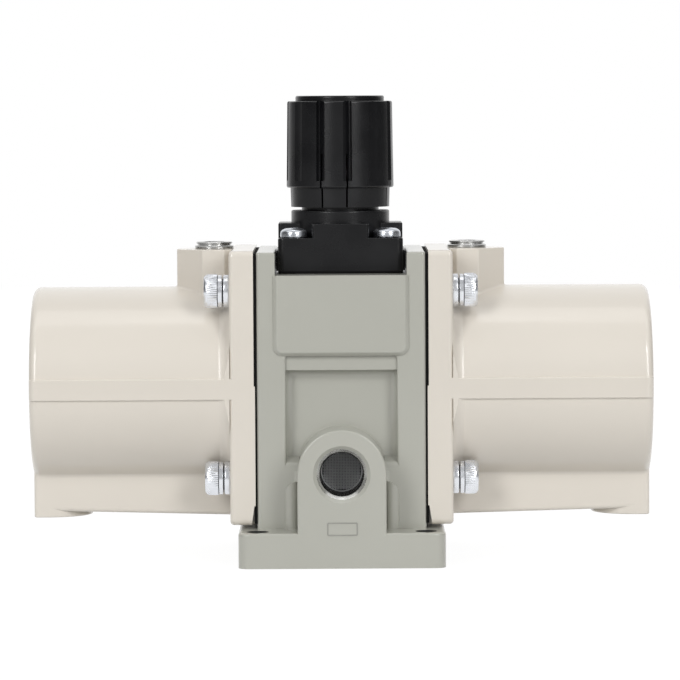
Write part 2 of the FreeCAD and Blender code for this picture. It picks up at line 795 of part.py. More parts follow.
# Knob, adjusting screw and setting nut
def knob():
    skirt_body = Part.makeCone(skirt_r, skirt_top_r, grip_z + 1 - knob_z, V(0, 0, knob_z))
    grip = Part.makeCone(grip_r, grip_top_r, grip_h, V(0, 0, grip_z))
    rims = [edge for edge in grip.Edges if isinstance(edge.Curve, Part.Circle)]
    grip = grip.makeFillet(grip_edge_r, rims)
    solid = fused([skirt_body, grip])
    roof_z = neck_top_z + knob_roof_gap
    cuts = [upright(neck_r + slip, knob_z - 1, roof_z),
            hexagon(drive_hex + 2 * slip, V(0, 0, roof_z - 1), V(0, 0, knob_top_z)),
            upright(cap_boss_r + seat_play, knob_top_z - cap_boss_h, knob_top_z + 1)]
    for step in range(knob_tongues):
        turn = tongue_turn + 360.0 * step / knob_tongues
        for side in (-1, 1):
            cuts.append(grip_groove(side).rotated(V(0, 0, 0), V(0, 0, 1), turn))
            slit = box(neck_r - 1, grip_r + 1, -slit_w / 2, slit_w / 2, knob_z - 1, knob_z + slit_h)
            cuts.append(slit.rotated(V(0, 0, 0), V(0, 0, 1), turn + side * slit_turn))
        flute = Part.makeCylinder(flute_r, 2 * grip_h, V(grip_r + flute_r - flute_depth, 0, grip_z),
                                  V(grip_top_r - grip_r, 0, grip_h))
        flute = flute.common(upright(2 * grip_r, grip_z + groove_land, knob_top_z + 1))
        cuts.append(flute.rotated(V(0, 0, 0), V(0, 0, 1), turn + 180.0 / knob_tongues))
    return solid.cut(cuts)


def grip_groove(side):
    """One lengthwise groove beside a tongue: a slope down to its floor and a steep wall back up."""
    section = [(groove_start, 0), (groove_floor, -groove_depth), (groove_end - slit_w, -groove_depth),
               (groove_end, slit_w), (groove_start, slit_w)]
    outlines = []
    for z in (grip_z + groove_land, knob_top_z + 1):
        surface_r = grip_r + (grip_top_r - grip_r) * (z - grip_z) / grip_h
        points = []
        for angle, out in section:
            turn = math.radians(side * angle)
            points.append(V((surface_r + out) * math.cos(turn), (surface_r + out) * math.sin(turn), z))
        outlines.append(Part.makePolygon(points + points[:1]))
    return Part.makeLoft(outlines, True, True)


def knob_cap():
    disc = rounded_top(upright(cap_r, knob_top_z, knob_top_z + cap_h), cap_h / 3)
    return fused([disc, upright(cap_boss_r, knob_top_z - cap_boss_h, knob_top_z)])


def adjusting_screw():
    drive = hexagon(drive_hex, V(0, 0, neck_top_z - slip), V(0, 0, drive_h))
    journal = upright(journal_r, thrust_top_z, neck_top_z)
    thrust = upright(thrust_r, thread_top_z, thrust_top_z)
    thread = upright(thread_r, thread_top_z - thread_h, thread_top_z)
    return fused([drive, journal, thrust, thread])


def setting_nut():
    disc = upright(neck_bore_r - slip, nut_z, nut_top_z)
    reach = neck_bore_r + nut_key_depth - slip
    key = box(-reach, reach, -nut_key_w / 2 + slip, nut_key_w / 2 - slip, nut_z, nut_top_z)
    return fused([disc, key]).cut(upright(thread_r + slip, nut_z - 1, nut_top_z + 1))


def setting_spring():
    return coil(spring_r, spring_wire, spring_turns, plate_top_z, nut_z)


# Diaphragm and governor valve
def diaphragm():
    sheet = slab(bonnet_x / 2, bonnet_y / 2, bonnet_corner_r, saddle_z, bonnet_z)
    holes = [upright(shank_r + seat_play, saddle_z - 1, bonnet_z + 1)]
    for x, y in bonnet_screw_places():
        holes.append(upright(cap_screw_r + slip, saddle_z - 1, bonnet_z + 1, x, y))
    return sheet.cut(holes)


def diaphragm_plate():
    rim = upright(plate_r, bonnet_z, plate_top_z)
    pilot = upright(spring_r - spring_wire, plate_top_z, plate_top_z + plate_rim_h)
    return fused([rim, pilot]).cut(upright(shank_r + seat_play, bonnet_z - 1, plate_top_z + plate_rim_h + 1))


def diaphragm_retainer():
    disc = upright(plate_r, retainer_z, saddle_z)
    shank = upright(shank_r, retainer_z, plate_top_z + plate_rim_h)
    return fused([disc, shank]).cut(upright(stem_r + seat_play, retainer_z - 1, bonnet_z))


def governor_stem():
    return upright(stem_r, seat_z, bonnet_z)


def governor_seat():
    solid = upright(seat_r - seat_play, seat_z, cavity_z)
    groove_z = (seat_z + cavity_z) / 2
    groove = upright(seat_r + 1, groove_z - seat_ring_wire / 2, groove_z + seat_ring_wire / 2).cut(
        upright(seat_r - seat_ring_wire, groove_z - seat_ring_wire, groove_z + seat_ring_wire))
    return solid.cut([groove, upright(seat_bore_r, seat_z - 1, cavity_z + 1)])


def governor_seat_ring():
    return ring(seat_r - seat_ring_wire / 2, seat_ring_wire - 2 * seat_play,
                V(0, 0, (seat_z + cavity_z) / 2), V(0, 0, 1))


def governor_poppet():
    tail = upright(poppet_tail_r, poppet_z - poppet_tail_h, poppet_z)
    return fused([upright(poppet_r, poppet_z, seat_z), tail])


def poppet_spring():
    return coil(poppet_tail_r + poppet_spring_wire * 1.5, poppet_spring_wire, poppet_spring_turns,
                valve_floor_z, poppet_z)


# Pistons, rod, bush and seals
def piston_rod():
    shoulder = piston_mid_x - piston_t / 2
    end = piston_mid_x + piston_t / 2 + nut_h
    return revolved_x([(-end, 0), (-end, rod_end_r), (-shoulder, rod_end_r), (-shoulder, rod_r),
                       (shoulder, rod_r), (shoulder, rod_end_r), (end, rod_end_r), (end, 0)], axis_z)


def piston_groove(depth, x0, x1):
    outer = level(bore_r + 1, x0, x1, 0, axis_z)
    return outer.cut(level(bore_r - slip - depth, x0, x1, 0, axis_z))


def seal_x():
    """Where the piston's seal groove starts; the seal faces the body."""
    return piston_mid_x - piston_t / 2 + piston_land


def wear_x():
    return seal_x() + piston_seal_w + piston_land


def right_piston():
    inner = piston_mid_x - piston_t / 2
    disc = level(bore_r - slip, inner, inner + piston_t, 0, axis_z)
    return disc.cut([piston_groove(piston_seal_depth, seal_x(), seal_x() + piston_seal_w),
                     piston_groove(wear_ring_depth, wear_x(), wear_x() + wear_ring_w),
                     level(rod_end_r + seat_play, inner - 1, inner + piston_t + 1, 0, axis_z)])


def right_piston_seal():
    outer = bore_r - seat_play
    inner = bore_r - slip - piston_seal_depth
    notch = piston_seal_w / 3
    x0, x1 = seal_x(), seal_x() + piston_seal_w
    mid = (outer + inner) / 2
    return revolved_x([(x0, inner), (x0, mid - notch / 2), (x0 + notch, mid), (x0, mid + notch / 2),
                       (x0, outer), (x1, outer), (x1, inner)], axis_z)


def right_wear_ring():
    outer = level(bore_r - seat_play, wear_x(), wear_x() + wear_ring_w, 0, axis_z)
    return outer.cut(level(bore_r - slip - wear_ring_depth, wear_x(), wear_x() + wear_ring_w, 0, axis_z))


def right_piston_nut():
    start = piston_mid_x + piston_t / 2
    body_hex = hexagon(nut_hex, V(start, 0, axis_z), V(nut_h, 0, 0))
    return body_hex.cut(level(rod_end_r + seat_play, start - 1, start + nut_h + 1, 0, axis_z))


def rod_bush():
    tube = level(bush_r - seat_play, -bush_half, bush_half, 0, axis_z)
    return tube.cut(level(rod_r + slip, -bush_half - 1, bush_half + 1, 0, axis_z))


def rod_seals():
    x0, x1 = bush_half, bush_half + rod_seal_t
    lip = rod_seal_t / 3
    mid = (bush_r + rod_r) / 2
    low, high = rod_r + seat_play, bush_r - seat_play
    right = revolved_x([(x0, low), (x0, high), (x1, high), (x1, mid + lip / 2), (x1 - lip, mid),
                        (x1, mid - lip / 2), (x1, low)], axis_z)
    return both_sides(right)


def seal_retainers():
    start = block_half - retainer_ring_t
    right = level(bush_r - seat_play, start, block_half, 0, axis_z)
    right = right.cut(level(rod_r + 2 * slip, start - 1, block_half + 1, 0, axis_z))
    return both_sides(right)


# Switching valve
def spool_sleeve():
    tube = level(sleeve_r - seat_play, -sleeve_half, sleeve_half, 0, spool_z)
    cuts = [level(spool_r + slip, -sleeve_half - 1, sleeve_half + 1, 0, spool_z)]
    for step in range(-2, 3):
        x = step * spool_pitch
        cuts.append(rod(sleeve_port_r, V(x, -sleeve_r - 1, spool_z), V(x, sleeve_r + 1, spool_z)))
        cuts.append(upright(sleeve_port_r, spool_z - sleeve_r - 1, spool_z + sleeve_r + 1, x))
    for x in sleeve_ring_places():
        outer = level(sleeve_r + 1, x - sleeve_ring_wire / 2, x + sleeve_ring_wire / 2, 0, spool_z)
        cuts.append(outer.cut(level(sleeve_r - sleeve_ring_wire, x - sleeve_ring_wire, x + sleeve_ring_wire,
                                    0, spool_z)))
    return tube.cut(cuts)


def sleeve_ring_places():
    return [(step + 0.5) * spool_pitch for step in range(-3, 3)]


def sleeve_rings():
    mean_r = sleeve_r - sleeve_ring_wire / 2
    wire = sleeve_ring_wire - 2 * seat_play
    return [ring(mean_r, wire, V(x, 0, spool_z), V(1, 0, 0)) for x in sleeve_ring_places()]


def switching_spool():
    solid = level(spool_r, -spool_half, spool_half, 0, spool_z)
    waists = []
    for step in (-2, -1, 1, 2):
        x = step * spool_pitch
        outer = level(spool_r + 1, x - spool_waist_w / 2, x + spool_waist_w / 2, 0, spool_z)
        waists.append(outer.cut(level(spool_waist_r, x - spool_waist_w, x + spool_waist_w, 0, spool_z)))
    return solid.cut(waists)


def right_pusher():
    return level(pusher_r, spool_half, block_half + pusher_proud, 0, spool_z)


def right_pusher_guide():
    disc = level(sleeve_r - seat_play, sleeve_half, block_half, 0, spool_z)
    return disc.cut(level(pusher_r + slip, sleeve_half - 1, block_half + 1, 0, spool_z))


# Check valves
def check_seat(y, recess_outside):
    """One seat disc on the right, with its recess towards the chamber or towards the passage."""
    inner = block_half - check_seat_t
    disc = level(check_seat_r - seat_play, inner, block_half, y, check_z)
    recess_x = check_web_x if recess_outside else inner
    recess = level(check_recess_r, recess_x, recess_x + check_recess_depth, y, check_z)
    cuts = [recess, level(check_stem_r + seat_play, inner - 1, block_half + 1, y, check_z)]
    for step in range(check_holes):
        angle = math.radians(360.0 * step / check_holes)
        hole_y = y + check_hole_ring_r * math.cos(angle)
        hole_z = check_z + check_hole_ring_r * math.sin(angle)
        cuts.append(level(check_hole_r, inner - 1, block_half + 1, hole_y, hole_z))
    return disc.cut(cuts)


def check_valve(y, recess_outside):
    """One rubber valve: a head over the holes, a stem through the web and a bulb behind it."""
    web = check_seat_t - check_recess_depth
    x = check_web_x if recess_outside else block_half - check_seat_t + check_recess_depth
    out = 1 if recess_outside else -1
    head = level(check_head_r, x, x + out * check_head_t, y, check_z)
    stem = level(check_stem_r, x - out * web, x, y, check_z)
    bulb = level(check_bulb_r, x - out * (web + check_bulb_h), x - out * web, y, check_z)
    return fused([head, stem, bulb])


def build():
    right = {
        "cover": right_cover(),
        "gasket": right_gasket(),
        "cover_screws": right_cover_screws(),
        "spring_washers": right_spring_washers(),
        "gauge_plug": right_gauge_plug(),
        "piston": right_piston(),
        "piston_seal": right_piston_seal(),
        "wear_ring": right_wear_ring(),
        "piston_nut": right_piston_nut(),
        "pusher": right_pusher(),
        "pusher_guide": right_pusher_guide(),
    }
    nodes = {
        "body": body(),
        "inlet_screen": inlet_screen(),
        "bonnet": bonnet(),
        "bonnet_screws": bonnet_screws(),
        "knob": knob(),
        "knob_cap": knob_cap(),
        "adjusting_screw": adjusting_screw(),
        "setting_nut": setting_nut(),
        "setting_spring": setting_spring(),
        "diaphragm": diaphragm(),
        "diaphragm_plate": diaphragm_plate(),
        "diaphragm_retainer": diaphragm_retainer(),
        "governor_stem": governor_stem(),
        "governor_seat": governor_seat(),
        "governor_seat_ring": governor_seat_ring(),
        "governor_poppet": governor_poppet(),
        "poppet_spring": poppet_spring(),
        "piston_rod": piston_rod(),
        "rod_bush": rod_bush(),
        "rod_seals": rod_seals(),
        "seal_retainers": seal_retainers(),
        "spool_sleeve": spool_sleeve(),
        "sleeve_rings": sleeve_rings(),
        "switching_spool": switching_spool(),
        "inlet_valve_seats": both_sides(check_seat(-check_y, True)),
        "outlet_valve_seats": both_sides(check_seat(check_y, False)),
        "inlet_check_valves": both_sides(check_valve(-check_y, True)),
        "outlet_check_valves": both_sides(check_valve(check_y, False)),
    }
    for name, shapes in right.items():
        nodes["right_" + name] = shapes
        if isinstance(shapes, list):
            nodes["left_" + name] = [mirrored(shape) for shape in shapes]
        else:
            nodes["left_" + name] = mirrored(shapes)
    return nodes


def write(nodes):
    os.makedirs("parts", exist_ok=True)
    for name, shapes in nodes.items():
        solid = Part.makeCompound(shapes) if isinstance(shapes, list) else shapes
        solid.exportStep(os.path.join("parts", name + ".step"))
        print(name, "solids", len(solid.Solids), "valid", solid.isValid(), "volume", round(solid.Volume, 1))


write(build())
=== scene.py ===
# %% [markdown]
# # Pressure booster valve
# This lesson dresses a packed mechanical model in Blender. The model is a small compressed-air booster: a
# cast centre body on a base plate, two cylinder covers, and a black governor with a knob on top. The CAD
# pieces come in as a fixed frame. Their shapes stay as they are, and this file gives them paint, metal and
# plastic, and adds the fine pieces that the frame leaves plain: knurled screws, threads, gauze and a blank
# name frame.

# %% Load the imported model
import json
import math
import bmesh
import bpy
from mathutils import Matrix, Vector

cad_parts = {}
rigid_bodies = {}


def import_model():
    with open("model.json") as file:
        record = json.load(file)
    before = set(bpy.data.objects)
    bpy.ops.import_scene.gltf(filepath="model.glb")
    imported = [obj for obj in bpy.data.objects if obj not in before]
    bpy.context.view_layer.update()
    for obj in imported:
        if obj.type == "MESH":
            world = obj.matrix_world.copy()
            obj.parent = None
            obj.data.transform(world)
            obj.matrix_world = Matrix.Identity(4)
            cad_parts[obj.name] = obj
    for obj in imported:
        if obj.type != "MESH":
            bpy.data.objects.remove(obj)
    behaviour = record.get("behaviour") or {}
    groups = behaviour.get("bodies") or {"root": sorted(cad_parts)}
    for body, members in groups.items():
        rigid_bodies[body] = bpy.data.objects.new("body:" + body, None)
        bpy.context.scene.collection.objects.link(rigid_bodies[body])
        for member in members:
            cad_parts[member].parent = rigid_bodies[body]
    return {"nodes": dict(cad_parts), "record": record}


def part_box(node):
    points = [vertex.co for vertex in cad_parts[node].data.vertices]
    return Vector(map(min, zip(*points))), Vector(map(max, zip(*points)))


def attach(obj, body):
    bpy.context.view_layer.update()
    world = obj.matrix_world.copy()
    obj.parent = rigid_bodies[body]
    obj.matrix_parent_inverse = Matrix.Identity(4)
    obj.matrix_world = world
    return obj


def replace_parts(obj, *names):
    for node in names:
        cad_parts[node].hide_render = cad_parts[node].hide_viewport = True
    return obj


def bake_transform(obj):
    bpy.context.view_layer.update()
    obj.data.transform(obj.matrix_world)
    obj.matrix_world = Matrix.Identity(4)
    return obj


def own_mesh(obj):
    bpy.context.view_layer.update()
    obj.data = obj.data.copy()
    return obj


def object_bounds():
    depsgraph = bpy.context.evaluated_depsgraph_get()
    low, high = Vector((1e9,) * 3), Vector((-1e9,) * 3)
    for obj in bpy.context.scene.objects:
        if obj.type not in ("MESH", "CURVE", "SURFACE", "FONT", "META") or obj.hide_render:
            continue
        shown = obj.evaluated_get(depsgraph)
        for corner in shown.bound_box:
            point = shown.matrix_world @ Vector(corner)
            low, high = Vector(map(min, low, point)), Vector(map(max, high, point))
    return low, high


for leftover in list(bpy.data.objects):
    bpy.data.objects.remove(leftover)
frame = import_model()
cad_low, cad_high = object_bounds()
MM = 0.001

# %% [markdown]
# ## Camera
# The picture was taken from about 1.1 m away with a long lens, a little above the middle and tipped down by
# 3.3 degrees. The lens is given for a square picture 680 pixels wide. The tiny roll is built into the
# matrix, because turning about the camera's own axis comes first, before it is tipped up to look along +Y.

# %% Camera
PICTURE_PIXELS = 680
FOCAL_PIXELS = 4191
SENSOR_MM = 36
PITCH_DOWN = math.radians(3.28)
ROLL = math.radians(-0.33)
CAMERA_PLACE = (-0.26 * MM, -1100 * MM, 119.2 * MM)

camera_data = bpy.data.cameras.new("camera")
camera_data.sensor_width = SENSOR_MM
camera_data.lens = FOCAL_PIXELS / PICTURE_PIXELS * SENSOR_MM
camera = bpy.data.objects.new("camera", camera_data)
bpy.context.scene.collection.objects.link(camera)
tip = Matrix.Rotation(math.pi / 2 - PITCH_DOWN, 4, "X")
camera.matrix_world = Matrix.Translation(CAMERA_PLACE) @ tip @ Matrix.Rotation(ROLL, 4, "Z")
bpy.context.scene.camera = camera
print("lens", round(camera_data.lens, 1), "mm")

# %% [markdown]
# ## Studio
# The object stands on a white table in a white room. The table reaches far behind the object and stops a
# little in front of it, because glossy black parts would otherwise mirror a bright table top. It lies a hair
# below the object's underside.

# %% White table
TABLE_HALF = 1.1
TABLE_FRONT = -0.6
TABLE_BACK = 1.6
TABLE_DROP = 0.05 * MM

table = bmesh.new()
bmesh.ops.create_grid(table, x_segments=1, y_segments=1, size=0.5)
bmesh.ops.scale(table, vec=(2 * TABLE_HALF, TABLE_BACK - TABLE_FRONT, 1), verts=table.verts)
bmesh.ops.translate(table, vec=(0, (TABLE_BACK + TABLE_FRONT) / 2, -TABLE_DROP), verts=table.verts)
table_mesh = bpy.data.meshes.new("table")
table.to_mesh(table_mesh)
table.free()
floor = bpy.data.objects.new("table", table_mesh)
bpy.context.scene.collection.objects.link(floor)
print("table", 2 * TABLE_HALF, "by", TABLE_BACK - TABLE_FRONT, "m")

# %% [markdown]
# Node trees are built in code. The helpers below add a node, calculate with one, map one range onto
# another, and tell the rays that see a surface from those that only light it.

# %% Helpers for node trees
def add(tree, kind, inputs=(), **settings):
    """Adds a node, sets its properties, and links or sets its inputs."""
    node = tree.nodes.new(kind)
    for key, value in settings.items():
        setattr(node, key, value)
    for key, value in dict(inputs).items():
        if isinstance(value, bpy.types.NodeSocket):
            tree.links.new(value, node.inputs[key])
        else:
            node.inputs[key].default_value = value
    return node


def calculate(tree, operation, *values):
    """The result of a Math node on one to three values."""
    return add(tree, "ShaderNodeMath", dict(enumerate(values)), operation=operation).outputs[0]


def remap(tree, value, start, end, low, high, interpolation="LINEAR"):
    """Maps the range from start to end onto low to high, and holds the value there beyond its ends."""
    return add(tree, "ShaderNodeMapRange", {"Value": value, 1: start, 2: end, 3: low, 4: high},
               interpolation_type=interpolation).outputs[0]


def seen_rays(tree):
    """One for rays from the camera, or mirrored or passed on by a surface."""
    rays = add(tree, "ShaderNodeLightPath").outputs
    direct = calculate(tree, "MAXIMUM", rays["Is Camera Ray"], rays["Is Glossy Ray"])
    return calculate(tree, "MAXIMUM", direct, rays["Is Transmission Ray"])


# %% [markdown]
# For the camera and for reflections the table is mostly a plain white emission, mixed with some lit paper,
# which keeps the soft shadow.

# %% Paper on the table
PAPER_WHITE = (0.62, 0.62, 0.615, 1)
WHITE_PART = 0.8
WHITE = 1.16

paper = bpy.data.materials.new("paper")
paper.use_nodes = True
tree = paper.node_tree
lit = tree.nodes["Principled BSDF"]
lit.inputs["Base Color"].default_value = PAPER_WHITE
lit.inputs["Roughness"].default_value = 0.9
lit.inputs["Specular IOR Level"].default_value = 0.1
glow = add(tree, "ShaderNodeEmission", {"Strength": WHITE})
part = calculate(tree, "MULTIPLY", seen_rays(tree), WHITE_PART)
mix = add(tree, "ShaderNodeMixShader", {0: part, 1: lit.outputs[0], 2: glow.outputs[0]})
tree.links.new(mix.outputs[0], tree.nodes["Material Output"].inputs["Surface"])
table_mesh.materials.append(paper)
print("white part of the paper", WHITE_PART)

# %% [markdown]
# A studio isn't equally bright all round: the room behind the camera is darker than the white sweep, and
# black flags stand to the left and right, which draw the dark edges on bright screws and on the black knob.
# The world's strength therefore falls towards -Y, and for reflections towards both sides too. Rays from the
# camera see plain white, and reflections see the room behind the object at full white.

# %% World
ROOM_FRONT = 0.4
ROOM_LIGHT = 0.77
DARK_TO = 0.1
BRIGHT_FROM = 0.9
FLAG_LEVEL = 0.2
FLAG_EDGE = 0.5
FLAG_MIDDLE = 0.9

world = bpy.data.worlds.new("studio")
bpy.context.scene.world = world
world.use_nodes = True
room = world.node_tree

direction = add(room, "ShaderNodeTexCoord").outputs["Generated"]
ways = add(room, "ShaderNodeSeparateXYZ", {0: direction}).outputs
fall = remap(room, ways["Y"], DARK_TO, BRIGHT_FROM, ROOM_FRONT, 1.0, "SMOOTHSTEP")
aside = calculate(room, "ABSOLUTE", ways["X"])
flags = remap(room, aside, FLAG_EDGE, FLAG_MIDDLE, 1.0, FLAG_LEVEL, "SMOOTHSTEP")
level = remap(room, seen_rays(room), 0.0, 1.0, ROOM_LIGHT, 1.0)
rays = add(room, "ShaderNodeLightPath").outputs
mirrored = remap(room, rays["Is Glossy Ray"], 0.0, 1.0, 1.0, flags)
flagged = calculate(room, "MULTIPLY", fall, mirrored)
shade = calculate(room, "MULTIPLY", flagged, level)
plain = calculate(room, "MAXIMUM", shade, rays["Is Camera Ray"])
background = room.nodes["Background"]
background.inputs["Color"].default_value = (1, 1, 1, 1)
room.links.new(plain, background.inputs["Strength"])
print("room light", ROOM_LIGHT)

# %% [markdown]
# Two soft lamps hang over the object, two stand in front of it to the left and right, and one lights it
# from behind. The back lamp leaves no highlight, so that the faces that point up don't mirror it.

# %% Lamps
LAMP_AIM = Vector((0, 0, 0.05))


def lamp(name, place, size, power, mirrored=True):
    """A soft rectangular lamp that faces the object; one that isn't mirrored leaves no highlight."""
    data = bpy.data.lights.new(name, "AREA")
    data.shape = "RECTANGLE"
    data.size, data.size_y = size
    data.energy = power
    thing = bpy.data.objects.new(name, data)
    thing.location = place
    thing.rotation_euler = (LAMP_AIM - Vector(place)).to_track_quat("-Z", "Y").to_euler()
    thing.visible_glossy = mirrored
    bpy.context.scene.collection.objects.link(thing)


lamp("top_left_lamp", (-0.42, -0.1, 1.25), (0.55, 1.1), 1.65)
lamp("top_right_lamp", (0.42, -0.1, 1.25), (0.55, 1.1), 1.65)
lamp("left_lamp", (-0.75, -1.2, 0.7), (0.45, 0.9), 8.5)
lamp("right_lamp", (0.75, -1.2, 0.7), (0.45, 0.9), 8.5)
lamp("back_lamp", (0, 1.3, 0.7), (1.4, 0.8), 6.5, mirrored=False)
bpy.context.scene.view_settings.view_transform = "Standard"

# %% [markdown]
# ## Surface patterns as node groups
# Several materials share the same kinds of surface: the pebbly skin of enamel on a casting, the fine
# spark-eroded skin of moulded plastic, and the cloudy skin of plated or turned metal. Each is built once as
# a node group with named sockets. All of them read Object coordinates, in metres, so a noise scale of 1000
# gives features of about a millimetre. A bump height is also in metres, so it can be written as the real
# depth of the surface.

# %% Helpers for node groups
NOISE_LOW = 0.35
NOISE_HIGH = 0.65
SKIN_OUTPUTS = [("Colour", "Color"), ("Roughness", "Float"), ("Normal", "Vector")]


def new_group(name, inputs, outputs):
    """Makes a shader node group, and returns its tree, the values it is given and where its results go."""
    tree = bpy.data.node_groups.new(name, "ShaderNodeTree")
    for label, kind, value in inputs:
        socket = tree.interface.new_socket(name=label, in_out="INPUT", socket_type="NodeSocket" + kind)
        socket.default_value = value
    for label, kind in outputs:
        tree.interface.new_socket(name=label, in_out="OUTPUT", socket_type="NodeSocket" + kind)
    return tree, tree.nodes.new("NodeGroupInput").outputs, tree.nodes.new("NodeGroupOutput").inputs


def noise(tree, place, scale, detail):
    return add(tree, "ShaderNodeTexNoise", {"Vector": place, "Scale": scale, "Detail": detail}).outputs[0]


def swing(tree, pattern, size):
    """Stretches the middle of a noise over the range from -size to size."""
    return remap(tree, pattern, NOISE_LOW, NOISE_HIGH, -size, size)


def put_out_skin(tree, given, out, tint, roughening, heights, depth):
    """Puts out the colour with its brightness tinted, the roughness with a change, and a bumped normal."""
    tinted = add(tree, "ShaderNodeHueSaturation", {"Color": given["Colour"], "Value": tint})
    bump = add(tree, "ShaderNodeBump", {"Height": heights, "Distance": depth, "Strength": 1.0})
    tree.links.new(tinted.outputs[0], out["Colour"])
    tree.links.new(calculate(tree, "ADD", roughening, given["Roughness"]), out["Roughness"])
    tree.links.new(bump.outputs[0], out["Normal"])


# %% [markdown]
# Enamel sprayed on a sand casting dries with fine pebbles over wide, gentle waves. Both go into one height,
# and a broad cloud shifts the brightness by a percent or two.

# %% The skin of enamel on a casting
WAVE_SCALE = 90.0
WAVE_SHARE = 2.5
COAT_CLOUD_SCALE = 28.0


def build_enamel_skin():
    tree, given, out = new_group(
        "enamel_skin",
        [("Colour", "Color", (0.5, 0.5, 0.5, 1)), ("Pebble scale", "Float", 1500.0),
         ("Pebble height", "Float", 0.0000014), ("Tint shift", "Float", 0.015), ("Roughness", "Float", 0.4)],
        SKIN_OUTPUTS)
    place = add(tree, "ShaderNodeTexCoord").outputs["Object"]
    pebbles = add(tree, "ShaderNodeTexNoise", {"Vector": place, "Scale": given["Pebble scale"],
                                               "Detail": 2.0, "Roughness": 0.45}).outputs[0]
    heights = calculate(tree, "MULTIPLY_ADD", noise(tree, place, WAVE_SCALE, 1.0), WAVE_SHARE, pebbles)
    cloud = swing(tree, noise(tree, place, COAT_CLOUD_SCALE, 3.0), 1.0)
    tint = calculate(tree, "MULTIPLY_ADD", cloud, given["Tint shift"], 1.0)
    put_out_skin(tree, given, out, tint, swing(tree, pebbles, 0.02), heights, given["Pebble height"])
    return tree


enamel_skin = build_enamel_skin()
print("group", enamel_skin.name, len(enamel_skin.nodes), "nodes")

# %% [markdown]
# Moulded plastic takes the even grain of its mould, and the flow of the melt leaves faint, wide blooms that
# change its depth of black. Rubber is the same skin with other values.

# %% The skin of moulded plastic and rubber
FLOW_SCALE = 70.0


def build_moulded_skin():
    tree, given, out = new_group(
        "moulded_skin",
        [("Colour", "Color", (0.02, 0.02, 0.02, 1)), ("Grain scale", "Float", 4200.0),
         ("Grain height", "Float", 0.000006), ("Roughness", "Float", 0.4), ("Bloom", "Float", 0.15)],
        SKIN_OUTPUTS)
    place = add(tree, "ShaderNodeTexCoord").outputs["Object"]
    grain = noise(tree, place, given["Grain scale"], 1.0)
    flow = noise(tree, place, FLOW_SCALE, 4.0)
    tint = calculate(tree, "MULTIPLY_ADD", swing(tree, flow, 1.0), given["Bloom"], 1.0)
    put_out_skin(tree, given, out, tint, swing(tree, flow, 0.05), grain, given["Grain height"])
    return tree


moulded_skin = build_moulded_skin()
print("group", moulded_skin.name, len(moulded_skin.nodes), "nodes")

# %% [markdown]
# Metal shows the marks of its tool or its plating bath. The coordinates are multiplied by a stretch, so a
# value below 1 draws the marks out along that axis. A small cloud varies both the brightness and the
# roughness.

# %% The skin of plated, turned and drawn metal
METAL_CLOUD_SCALE = 260.0


def build_metal_skin():
    tree, given, out = new_group(
        "metal_skin",
        [("Colour", "Color", (0.6, 0.6, 0.6, 1)), ("Stretch", "Vector", (1, 1, 1)),
         ("Mark scale", "Float", 900.0), ("Mark height", "Float", 0.000001), ("Roughness", "Float", 0.3),
         ("Cloud", "Float", 0.06)],
        SKIN_OUTPUTS)
    place = add(tree, "ShaderNodeTexCoord").outputs["Object"]
    along = add(tree, "ShaderNodeVectorMath", {0: place, 1: given["Stretch"]}, operation="MULTIPLY")
    marks = noise(tree, along.outputs[0], given["Mark scale"], 3.0)
    cloud = noise(tree, place, METAL_CLOUD_SCALE, 4.0)
    tint = calculate(tree, "MULTIPLY_ADD", swing(tree, cloud, 1.0), given["Cloud"], 1.0)
    put_out_skin(tree, given, out, tint, swing(tree, cloud, 0.06), marks, given["Mark height"])
    return tree


metal_skin = build_metal_skin()
print("group", metal_skin.name, len(metal_skin.nodes), "nodes")

# %% [markdown]
# ## Where the machining went through the paint
# The casting is painted first and machined afterwards, so the chamfer and bore of each port are bare metal,
# with a thin ragged edge where the paint stops. A mask group finds that area from the distance to the
# port's axis, which runs along Y at a given height. A little noise on the distance roughens the paint's
# edge.

# %% The bare metal mask of a port
RAGGED_SCALE = 1600.0
RAGGED_WIDTH = 0.25 * MM


def build_port_mask():
    tree, given, out = new_group(
        "port_mask", [("Height", "Float", 0.0), ("Radius", "Float", 0.007), ("From Y", "Float", -1.0)],
        [("Mask", "Float")])
    place = add(tree, "ShaderNodeTexCoord").outputs["Object"]
    parts = add(tree, "ShaderNodeSeparateXYZ", {0: place}).outputs
    rise = calculate(tree, "SUBTRACT", parts["Z"], given["Height"])
    flat = add(tree, "ShaderNodeCombineXYZ", {"X": parts["X"], "Z": rise}).outputs[0]
    away = add(tree, "ShaderNodeVectorMath", {0: flat}, operation="LENGTH").outputs["Value"]
    edge = calculate(tree, "MULTIPLY_ADD", noise(tree, place, RAGGED_SCALE, 2.0), RAGGED_WIDTH, away)
    inside = calculate(tree, "LESS_THAN", edge, given["Radius"])
    behind = calculate(tree, "GREATER_THAN", parts["Y"], given["From Y"])
    tree.links.new(calculate(tree, "MULTIPLY", inside, behind), out["Mask"])
    return tree


port_mask = build_port_mask()
print("group", port_mask.name, len(port_mask.nodes), "nodes")
